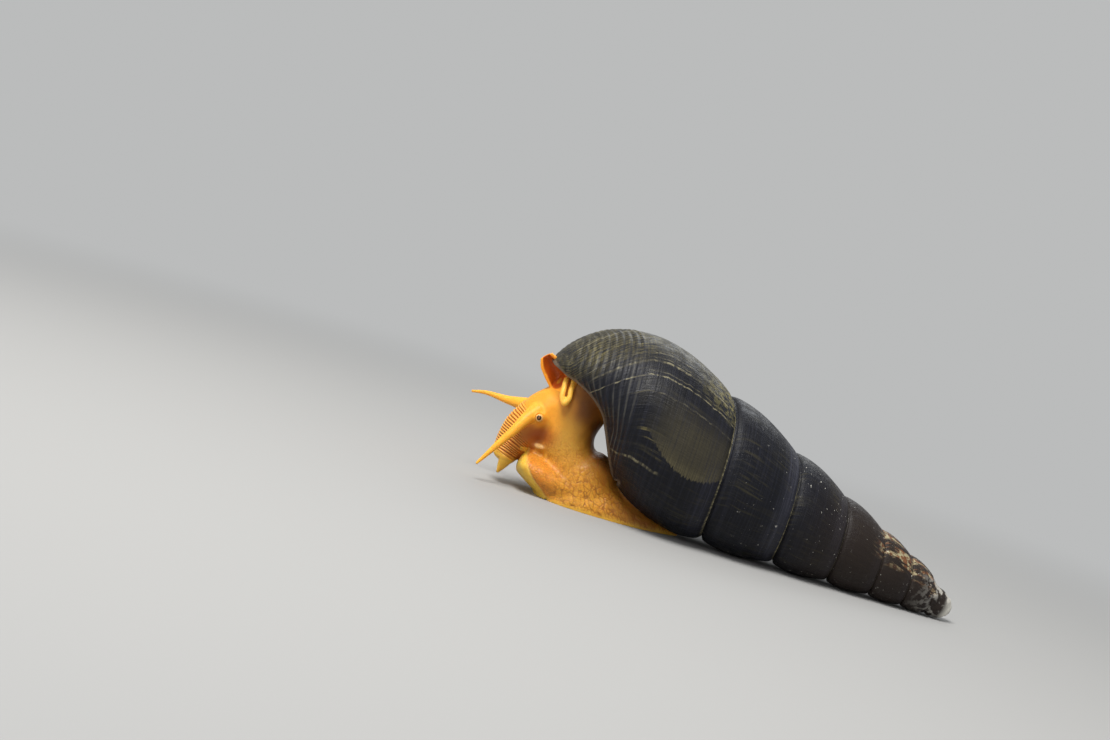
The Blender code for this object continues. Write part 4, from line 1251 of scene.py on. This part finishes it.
# %% Making the operculum
LID_CENTRE = (9.6, 4.0, 3.6)
LID_SIZE = (2.9, 2.3)
LID_THICK = 0.6
LID_TILT = (-14.0, 16.0)
LID_RINGS_AT = 0.9            # how far their centre lies from the middle of the lid
LID_RING_STEP, LID_RING_HEIGHT = 0.33, 0.03


def make_lid(rings=36, sides=96):
    turn = 2.0 * np.pi * np.arange(sides) / sides
    out = np.sin(np.linspace(0.03, np.pi - 0.03, rings))
    top = np.linspace(0.0, 1.0, rings) < 0.5
    points = []
    for k in range(rings):
        lx, ly = out[k] * LID_SIZE[0] * np.cos(turn), out[k] * LID_SIZE[1] * np.sin(turn)
        ring = np.hypot(lx - LID_RINGS_AT, ly)
        dome = LID_THICK * 0.5 * (1.0 - out[k] ** 2) ** 0.5 * (1.0 if top[k] else -1.0)
        lines = LID_RING_HEIGHT * np.cos(ring * 2.0 * np.pi / LID_RING_STEP)
        points.append(np.stack([lx, ly, dome + lines * top[k] * (1.0 - out[k] ** 6)], axis=1))
    return tidy_mesh(make_mesh("operculum_lid", *section_grid(np.vstack(points), rings, sides)))


lid = make_lid()
turn = Euler([math.radians(v) for v in (*LID_TILT, 0.0)]).to_matrix().to_4x4()
lid.data.transform(Matrix.Translation(Vector(LID_CENTRE) * MM) @ turn)
lid.data.shade_smooth()
print("operculum", len(lid.data.vertices), "points")

# %% [markdown]
# ## Building shader nodes in code
#
# A material is a network of nodes. Written out node by node it is long and hard to read,
# so a short helper adds a node, sets its values and makes its links in one line. Values may
# be numbers or the outputs of other nodes. Its other tools make the steps that come back
# most: sums, soft masks, products of masks, and blends of two colours.

# %% Node helper
class Net:
    """Adds nodes to a node tree: net.add("ShaderNodeMix", {socket: value}, setting=value)."""

    def __init__(self, tree):
        self.tree = tree

    def add(self, kind, inputs=None, **settings):
        node = self.tree.nodes.new(kind)
        for name, value in settings.items():
            setattr(node, name, value)
        for socket, value in (inputs or {}).items():
            self.fill(node.inputs[socket], value)
        return node

    def fill(self, socket, value):
        """Links an output to the socket, or sets its value."""
        if isinstance(value, bpy.types.NodeSocket):
            self.tree.links.new(value, socket)
        else:
            socket.default_value = value

    def math(self, operation, a, b=0.0, c=0.0):
        return self.add("ShaderNodeMath", {0: a, 1: b, 2: c}, operation=operation).outputs[0]

    def step(self, value, low, high, to_low=0.0, to_high=1.0):
        inputs = {0: value, 1: low, 2: high, 3: to_low, 4: to_high}
        return self.add("ShaderNodeMapRange", inputs, interpolation_type="SMOOTHSTEP").outputs[0]

    def part(self, low, high, values):
        """A soft mask that rises from 0 at low to 1 at high, either way round."""
        if low < high:
            return self.step(values, low, high)
        return self.step(values, high, low, 1.0, 0.0)

    def times(self, *masks):
        product = masks[0]
        for mask in masks[1:]:
            product = self.math("MULTIPLY", product, mask)
        return product

    def blend(self, share, under, over):
        node = self.add("ShaderNodeMix", data_type="RGBA", blend_type="MIX", clamp_factor=True)
        sockets = {s.identifier: s for s in (*node.inputs, *node.outputs)}
        for name, value in (("Factor_Float", share), ("A_Color", under), ("B_Color", over)):
            self.fill(sockets[name], (*value, 1.0) if isinstance(value, tuple) else value)
        return sockets["Result_Color"]

    def scaled(self, vector, x, y, z):
        inputs = {0: vector, 1: (x, y, z)}
        return self.add("ShaderNodeVectorMath", inputs, operation="MULTIPLY").outputs[0]


def new_material(name):
    material = bpy.data.materials.new(name)
    material.use_nodes = True
    return material, Net(material.node_tree), material.node_tree.nodes["Principled BSDF"]


print("node helper ready")

# %% [markdown]
# ## Two shared effects
#
# Mottling and fine grain are needed on skin, shell and lid alike, each time at its own
# scale. So each is a node group with named inputs, made once. The mottle group turns noise
# into a mask between two limits, and the grain group gives a small uneven height for bump.

# %% Shared node groups
def make_group(name, inputs, output, build):
    group = bpy.data.node_groups.new(name, "ShaderNodeTree")
    for label, kind, value in inputs:
        socket = group.interface.new_socket(label, in_out="INPUT", socket_type=kind)
        if value is not None:
            socket.default_value = value
    group.interface.new_socket(output, in_out="OUTPUT", socket_type="NodeSocketFloat")
    net = Net(group)
    source = group.nodes.new("NodeGroupInput")
    target = group.nodes.new("NodeGroupOutput")
    group.links.new(build(net, source.outputs), target.inputs[output])
    return group


def build_mottle(net, given):
    pattern = net.add("ShaderNodeTexNoise", {"Vector": given["Vector"], "Scale": given["Scale"],
                                             "Detail": 5.0, "Roughness": 0.6})
    return net.step(pattern.outputs[0], given["Low"], given["High"])


def build_grain(net, given):
    wide = net.add("ShaderNodeTexNoise", {"Vector": given["Vector"], "Scale": given["Scale"],
                                          "Detail": 4.0, "Roughness": 0.65}).outputs[0]
    cells = net.add("ShaderNodeTexVoronoi", {"Vector": given["Vector"], "Scale": given["Scale"]},
                    feature="SMOOTH_F1").outputs[0]
    return net.math("ADD", net.math("MULTIPLY", wide, 0.6), net.math("MULTIPLY", cells, given["Cells"]))


mottle_group = make_group("mottle", (("Vector", "NodeSocketVector", None),
                                     ("Scale", "NodeSocketFloat", 5.0),
                                     ("Low", "NodeSocketFloat", 0.4),
                                     ("High", "NodeSocketFloat", 0.6)), "Mask", build_mottle)
grain_group = make_group("grain", (("Vector", "NodeSocketVector", None),
                                   ("Scale", "NodeSocketFloat", 5.0),
                                   ("Cells", "NodeSocketFloat", 0.4)), "Height", build_grain)


def mottle(net, vector, scale, low, high):
    inputs = {"Vector": vector, "Scale": scale, "Low": low, "High": high}
    return net.add("ShaderNodeGroup", inputs, node_tree=mottle_group).outputs[0]


def grain(net, vector, scale, cells):
    inputs = {"Vector": vector, "Scale": scale, "Cells": cells}
    return net.add("ShaderNodeGroup", inputs, node_tree=grain_group).outputs[0]


print("groups", mottle_group.name, grain_group.name)

# %% [markdown]
# ## Skin
#
# Snail skin is wet and lets light in. Light that enters comes out again a little further
# on, redder, and this is what subsurface scattering gives. A thin clear coat stands for
# the slime. The painted colour is broken up by fine darker freckles and by slow changes.

# %% Skin material
WARM_SKIN = (0.52, 0.17, 0.015)
FRECKLES = (0.24, 0.085, 0.012)
LIGHT_REACH = (1.0, 0.38, 0.12)        # how far red, green and blue travel in the skin


def make_skin_material():
    material, net, shader = new_material("snail_skin")
    place = net.add("ShaderNodeTexCoord").outputs["Object"]
    tone = net.add("ShaderNodeAttribute", attribute_name="tone").outputs["Color"]
    slow = mottle(net, place, 260.0, 0.35, 0.70)
    fine = mottle(net, place, 1500.0, 0.52, 0.70)
    warm = net.blend(net.math("MULTIPLY", slow, 0.20), tone, WARM_SKIN)
    freckled = net.blend(net.math("MULTIPLY", fine, 0.16), warm, FRECKLES)
    net.fill(shader.inputs["Base Color"], freckled)
    rough = net.step(mottle(net, place, 700.0, 0.3, 0.7), 0.0, 1.0, 0.40, 0.56)
    net.fill(shader.inputs["Roughness"], rough)
    height = grain(net, place, 2300.0, 0.5)
    bump = net.add("ShaderNodeBump", {"Height": height, "Strength": 0.35, "Distance": 0.00006})
    net.fill(shader.inputs["Normal"], bump.outputs[0])
    shader.inputs["Subsurface Weight"].default_value = 0.30
    shader.inputs["Subsurface Radius"].default_value = LIGHT_REACH
    shader.inputs["Subsurface Scale"].default_value = 0.0007
    shader.inputs["Coat Weight"].default_value = 0.06
    shader.inputs["Coat Roughness"].default_value = 0.3
    shader.inputs["IOR"].default_value = 1.36
    return material


skin.data.materials.clear()
skin.data.materials.append(make_skin_material())
print("skin material done")

# %% [markdown]
# ## Shell
#
# The shell is covered by a dark horny layer, nearly black with a blue tinge. Older growth
# shows through it as khaki streaks along the growth lines, cream lines mark pauses, and
# the tip is worn down to white lime. All of it follows the coil, so the noise is laid out
# in coil coordinates, drawn out along the growth lines and squeezed across them. Each
# function below paints one kind of mark over the colour that it is given.

# %% Colours and values of the shell
NIGHT = (0.0036, 0.0041, 0.0072)
SLATE = (0.0125, 0.0135, 0.0220)
BLUE_GREY = (0.030, 0.031, 0.050)
HAZE = (0.035, 0.036, 0.050)
ASH = (0.060, 0.058, 0.050)
OLIVE = (0.046, 0.040, 0.019)
DARK_KHAKI = (0.046, 0.040, 0.025)
TAN = (0.098, 0.084, 0.044)
KHAKI = (0.125, 0.105, 0.044)
YELLOW_CRUST = (0.215, 0.188, 0.070)
STRAW = (0.19, 0.17, 0.10)
CREAM = (0.36, 0.32, 0.19)
UMBER = (0.020, 0.0125, 0.0085)
RUST = (0.165, 0.066, 0.026)
LIME = (0.62, 0.60, 0.54)
LIP_BROWN = (0.150, 0.115, 0.080)
INSIDE_GREY = (0.16, 0.145, 0.135)
LINE_STEP = 3.4               # degrees between the thin pale lines near the lip
PATCH_MIDDLE = 0.38           # of the whorl's width, where the patch reaches furthest
PAUSE_LINES = (
    # growth angle, half width, strength, and the stretch across the whorl
    (-18.5, 1.6, 0.60, 0.73, 1.04), (31.0, 0.8, 0.15, 0.0, 1.0), (43.0, 0.7, 0.50, 0.0, 1.38),
    (46.0, 0.5, 0.22, 0.0, 0.9), (54.5, 1.3, 0.45, 0.0, 1.30), (57.5, 0.6, 0.25, 0.0, 1.2),
    (63.0, 0.8, 0.28, 0.0, 1.5), (97.0, 0.9, 0.5, 0.0, 1.5), (118.0, 0.9, 0.5, 0.0, 1.5),
)


def on_coil(net, at, around, across, low, high):
    """Mottling in coil coordinates. A large number makes it fine in that direction."""
    return mottle(net, net.scaled(at.coil, around, across, 0.0), 1.0, low, high)


def noise_on_coil(net, at, around, across, detail):
    inputs = {"Vector": net.scaled(at.coil, around, across, 0.0), "Scale": 1.0, "Detail": detail}
    return net.add("ShaderNodeTexNoise", inputs).outputs[0]


def read_shell(net):
    """The values stored on the shell, and the marks that several functions need."""
    at = SimpleNamespace()
    at.coil = net.add("ShaderNodeAttribute", attribute_name="coil").outputs["Vector"]
    at.place = net.add("ShaderNodeTexCoord").outputs["Object"]
    grown, at.across, at.size = net.add("ShaderNodeSeparateXYZ", {0: at.coil}).outputs
    places = net.add("ShaderNodeAttribute", attribute_name="places").outputs["Vector"]
    at.crest, at.inside, at.rim = net.add("ShaderNodeSeparateXYZ", {0: places}).outputs
    at.degrees = net.math("MULTIPLY", grown, 360.0)
    at.streaks = on_coil(net, at, 130.0, 1.8, 0.48, 0.68)
    at.threads = on_coil(net, at, 5.0, 42.0, 0.45, 0.62)
    at.broken = on_coil(net, at, 9.0, 14.0, 0.38, 0.62)
    return at


print("shell colours ready, with", len(PAUSE_LINES), "pause lines")

# %% [markdown]
# ## Dark layer and patch
#
# The horny layer of a living shell is never plain. Streaks follow the growth lines, and on the side of
# the last whorl a wide brown patch with a fringed edge lets older layers through. Grey on the crests of
# the cords is a painted highlight. The edge of the patch is a parabola in coil coordinates, made uneven
# by noise, because an edge drawn in space wouldn't bend with the whorl.

# %% Dark layer and patch
def paint_layer(net, at):
    """Blue-black with grey threads, olive streaks, and khaki weave on top."""
    fine_lines = on_coil(net, at, 300.0, 7.0, 0.42, 0.62)
    clouds = on_coil(net, at, 7.0, 2.2, 0.42, 0.62)
    weave = net.times(fine_lines, on_coil(net, at, 20.0, 60.0, 0.40, 0.60))
    on_top = net.part(48.0, 80.0, at.degrees)
    # pale grey painted highlights on the crests of the base cords, broken up along their length
    cord_crest_highlights = net.times(net.part(0.72, 0.95, at.crest), net.part(0.95, 1.05, at.across), at.broken)
    colour = net.blend(net.times(at.threads, 0.5), NIGHT, SLATE)
    # painted highlight: slate grey on the crests of the cords
    colour = net.blend(net.times(at.crest, 0.5), colour, SLATE)
    colour = net.blend(net.times(cord_crest_highlights, 0.8), colour, ASH)
    colour = net.blend(net.times(at.streaks, net.step(clouds, 0.0, 1.0, 0.10, 0.55)), colour, OLIVE)
    colour = net.blend(net.times(on_top, fine_lines, 0.75), colour, OLIVE)
    return net.blend(net.times(on_top, weave, net.step(clouds, 0.0, 1.0, 0.35, 0.9)), colour, KHAKI)


def paint_patch(net, at, colour):
    """The brown patch on the last whorl, with a fringed edge. Also gives its mask."""
    off_middle = net.math("ABSOLUTE", net.math("SUBTRACT", at.across, PATCH_MIDDLE))
    edge = net.math("MULTIPLY_ADD", net.math("POWER", off_middle, 2.0), 70.0, -10.5)
    scallops = noise_on_coil(net, at, 2.0, 46.0, 2.0)
    edge = net.math("MULTIPLY_ADD", net.math("SUBTRACT", scallops, 0.5), 7.0, edge)
    over_edge = net.math("SUBTRACT", at.degrees, edge)
    patch = net.times(net.part(-0.6, 0.8, over_edge), net.part(40.0, 12.0, at.degrees),
                      net.part(0.95, 0.52, at.across))
    stripes = on_coil(net, at, 9.0, 95.0, 0.44, 0.60)
    fringe = net.times(patch, net.part(13.0, 0.0, over_edge), net.step(stripes, 0.0, 1.0, 0.35, 1.0))
    lip_side = net.times(net.part(-8.0, -3.0, over_edge), net.part(2.0, -2.5, over_edge),
                         net.part(0.62, 0.72, at.across), net.part(0.98, 0.86, at.across))
    bluish = net.times(net.part(0.30, 0.05, at.across), net.part(20.0, -10.0, at.degrees))
    colour = net.blend(net.times(patch, net.step(at.threads, 0.0, 1.0, 0.85, 0.55)), colour, DARK_KHAKI)
    colour = net.blend(net.times(fringe, 0.85), colour, TAN)
    colour = net.blend(net.times(lip_side, at.streaks), colour, KHAKI)
    bluish = net.times(bluish, net.step(at.threads, 0.0, 1.0, 0.15, 0.8))
    return net.blend(bluish, colour, BLUE_GREY), patch


print("layer and patch ready")

# %% [markdown]
# ## Marks of age
#
# A snail stops building now and then, and each pause leaves a cream line across the whorl.
# The seam between whorls has a pale notched edge and, on top of the last whorl, a crust.
# The oldest whorls lose their dark layer, first in rusty flames and then down to white
# lime. Each mark is a product of soft masks: where it lies round the coil, where across the
# whorl, and how broken it is.

# %% Pauses, sutures and wear
def paint_pauses(net, at, colour):
    """Cream lines at the pauses in growth, and thin pale lines near the lip."""
    wobble = net.math("SUBTRACT", noise_on_coil(net, at, 3.0, 9.0, 4.0), 0.5)
    wavy = net.math("ADD", at.degrees, net.math("MULTIPLY", wobble, 5.0))
    for pause, width, strength, low, high in PAUSE_LINES:
        off = net.math("ABSOLUTE", net.math("SUBTRACT", wavy, pause))
        line = net.times(net.part(width, width * 0.25, off), net.part(low - 0.12, low, at.across),
                         net.part(high + 0.12, high, at.across),
                         net.step(at.broken, 0.0, 1.0, 0.12, 1.0))
        colour = net.blend(net.times(line, strength), colour, CREAM)
    place_in_step = net.math("FRACT", net.math("MULTIPLY", wavy, 1.0 / LINE_STEP))
    off_line = net.math("ABSOLUTE", net.math("SUBTRACT", place_in_step, 0.5))
    near_lip = net.times(net.part(58.0, 84.0, at.degrees), net.part(0.13, 0.04, off_line), at.broken)
    return net.blend(net.times(near_lip, 0.55), colour, STRAW)


def paint_sutures(net, at, colour):
    """Notches in the seam, a yellowish crust under it on top, and a haze. Also gives the crust."""
    notches = on_coil(net, at, 130.0, 10.0, 0.46, 0.56)
    suture = net.times(net.part(0.030, 0.008, at.across), net.step(notches, 0.0, 1.0, 0.25, 0.75))
    crust = net.times(net.part(0.60, 0.04, at.across), net.part(36.0, 60.0, at.degrees),
                      net.part(120.0, 84.0, at.degrees), mottle(net, at.place, 900.0, 0.47, 0.60))
    haze = net.times(net.part(0.34, 0.10, at.across), net.part(0.02, 0.06, at.across),
                     net.part(-15.0, -330.0, at.degrees), net.step(at.threads, 0.0, 1.0, 0.3, 0.9))
    colour = net.blend(suture, colour, CREAM)
    colour = net.blend(net.times(crust, 0.75), colour, YELLOW_CRUST)
    return net.blend(haze, colour, HAZE), crust


def paint_wear(net, at, colour):
    """Brown early whorls with rusty flames, a tip worn to lime, and pale specks."""
    normal = net.add("ShaderNodeNewGeometry").outputs["Normal"]
    upper = net.part(0.10, 0.55, net.add("ShaderNodeSeparateXYZ", {0: normal}).outputs[2])
    flames = on_coil(net, at, 34.0, 1.4, 0.48, 0.58)
    flamed = net.times(net.part(0.345, 0.30, at.size), net.part(0.15, 0.20, at.size), flames, upper)
    worn = net.times(net.part(0.235, 0.15, at.size), mottle(net, at.place, 620.0, 0.48, 0.58),
                     net.step(upper, 0.0, 1.0, 0.40, 0.75))
    worn = net.math("MAXIMUM", worn, net.part(0.150, 0.135, at.size))
    dots = net.times(mottle(net, at.place, 1500.0, 0.665, 0.70),
                     mottle(net, at.place, 150.0, 0.44, 0.52), net.part(0.68, 0.54, at.size))
    colour = net.blend(net.times(net.part(0.52, 0.34, at.size), 0.8), colour, UMBER)
    colour = net.blend(flamed, colour, RUST)
    colour = net.blend(net.times(flamed, mottle(net, at.place, 1100.0, 0.47, 0.56)), colour, CREAM)
    colour = net.blend(worn, colour, LIME)
    return net.blend(net.times(dots, 0.8), colour, LIME), worn


print("pauses, sutures and wear ready")

# %% [markdown]
# ## One material for the shell
#
# The marks are laid on here in the order in which they cover each other. The same masks
# make worn and crusted places rougher. Ribs too fine for the mesh are left to a bump, which
# only bends the light and costs no faces.

# %% Shell material
def shell_bump(net, at):
    ribs = noise_on_coil(net, at, 330.0, 8.0, 3.0)
    cross = noise_on_coil(net, at, 8.0, 75.0, 2.0)
    height = net.math("ADD", net.math("ADD", ribs, net.math("MULTIPLY", cross, 0.7)),
                      net.math("MULTIPLY", grain(net, at.place, 1400.0, 0.2), 0.35))
    return net.add("ShaderNodeBump", {"Height": height, "Strength": 0.55, "Distance": 0.00016})


def make_shell_material():
    material, net, shader = new_material("snail_shell")
    at = read_shell(net)
    colour, patch = paint_patch(net, at, paint_layer(net, at))
    colour, crust = paint_sutures(net, at, paint_pauses(net, at, colour))
    colour, worn = paint_wear(net, at, colour)
    colour = net.blend(net.times(at.rim, 0.8), colour, LIP_BROWN)
    colour = net.blend(at.inside, colour, INSIDE_GREY)
    rough = net.step(on_coil(net, at, 60.0, 9.0, 0.3, 0.7), 0.0, 1.0, 0.36, 0.56)
    for mask, value in ((net.math("MAXIMUM", worn, crust), 0.75), (patch, 0.5), (at.crest, 0.46)):
        rough = net.math("MAXIMUM", rough, net.math("MULTIPLY", mask, value))
    net.fill(shader.inputs["Base Color"], colour)
    net.fill(shader.inputs["Roughness"], rough)
    net.fill(shader.inputs["Normal"], shell_bump(net, at).outputs[0])
    shader.inputs["Specular IOR Level"].default_value = 0.22
    return material


shell.data.materials.clear()
shell.data.materials.append(make_shell_material())
print("shell material done")

# %% [markdown]
# ## Eyes and operculum
#
# The rings of the eye are steps of one value, from the brown middle to the pale collar. A
# thin clear coat makes the ball look wet. The lid is dark horn, and its growth rings are in
# the mesh already.

# %% Eye and lid materials
EYE_MIDDLE = (0.17, 0.066, 0.017)
EYE_RINGS = (
    # distances from the line of sight over which each ring begins, and its colour
    (0.16, 0.26, (0.006, 0.003, 0.003)),
    (0.44, 0.52, (0.80, 0.48, 0.17)),
    (0.66, 0.74, (0.76, 0.36, 0.05)),
)
EYE_FLECKS = (0.30, 0.12, 0.02)
DARK_HORN, PALE_HORN = (0.060, 0.024, 0.008), (0.150, 0.060, 0.018)


def make_eye_material():
    material, net, shader = new_material("snail_eye")
    ring = net.add("ShaderNodeAttribute", attribute_name="ring").outputs["Fac"]
    place = net.add("ShaderNodeTexCoord").outputs["Object"]
    colour = EYE_MIDDLE
    for low, high, paint in EYE_RINGS:
        colour = net.blend(net.step(ring, low, high), colour, paint)
    flecks = net.math("MULTIPLY", mottle(net, place, 3000.0, 0.4, 0.6), 0.15)
    colour = net.blend(flecks, colour, EYE_FLECKS)
    net.fill(shader.inputs["Base Color"], colour)
    net.fill(shader.inputs["Roughness"], net.step(ring, 0.42, 0.55, 0.16, 0.32))
    shader.inputs["Specular IOR Level"].default_value = 0.25
    shader.inputs["Coat Weight"].default_value = 0.08
    shader.inputs["Coat Roughness"].default_value = 0.04
    return material


def make_lid_material():
    material, net, shader = new_material("snail_operculum")
    place = net.add("ShaderNodeTexCoord").outputs["Object"]
    spots = mottle(net, place, 600.0, 0.35, 0.65)
    colour = net.blend(spots, DARK_HORN, PALE_HORN)
    net.fill(shader.inputs["Base Color"], colour)
    height = grain(net, place, 1800.0, 0.3)
    bump = net.add("ShaderNodeBump", {"Height": height, "Strength": 0.4, "Distance": 0.00008})
    net.fill(shader.inputs["Normal"], bump.outputs[0])
    net.fill(shader.inputs["Roughness"], net.step(spots, 0.0, 1.0, 0.32, 0.50))
    return material


eye_material = make_eye_material()
for eye in eyes.values():
    eye.data.materials.append(eye_material)
lid.data.materials.append(make_lid_material())
print("materials", len(bpy.data.materials))

# %% [markdown]
# ## Joining the pieces to the frame
#
# Each piece now takes the place of the solids that it stands for. The row has one body, so everything
# rides on it.

# %% Pieces
FLESH_NODES = ("neck", "head", "foot_front", "foot", "snout", "mantle", "siphon", "mantle_lappet",
               "tentacle_left", "tentacle_right")
skin.name = "snail_skin"
shell.name = "snail_shell"
for piece, nodes, slot in ((skin, FLESH_NODES, "flesh"), (shell, ("shell",), "shell"),
                           (lid, ("operculum",), "operculum"),
                           (eyes["eye_left"], ("eye_left",), "eye"),
                           (eyes["eye_right"], ("eye_right",), "eye")):
    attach(piece, "root")
    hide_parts(*nodes)
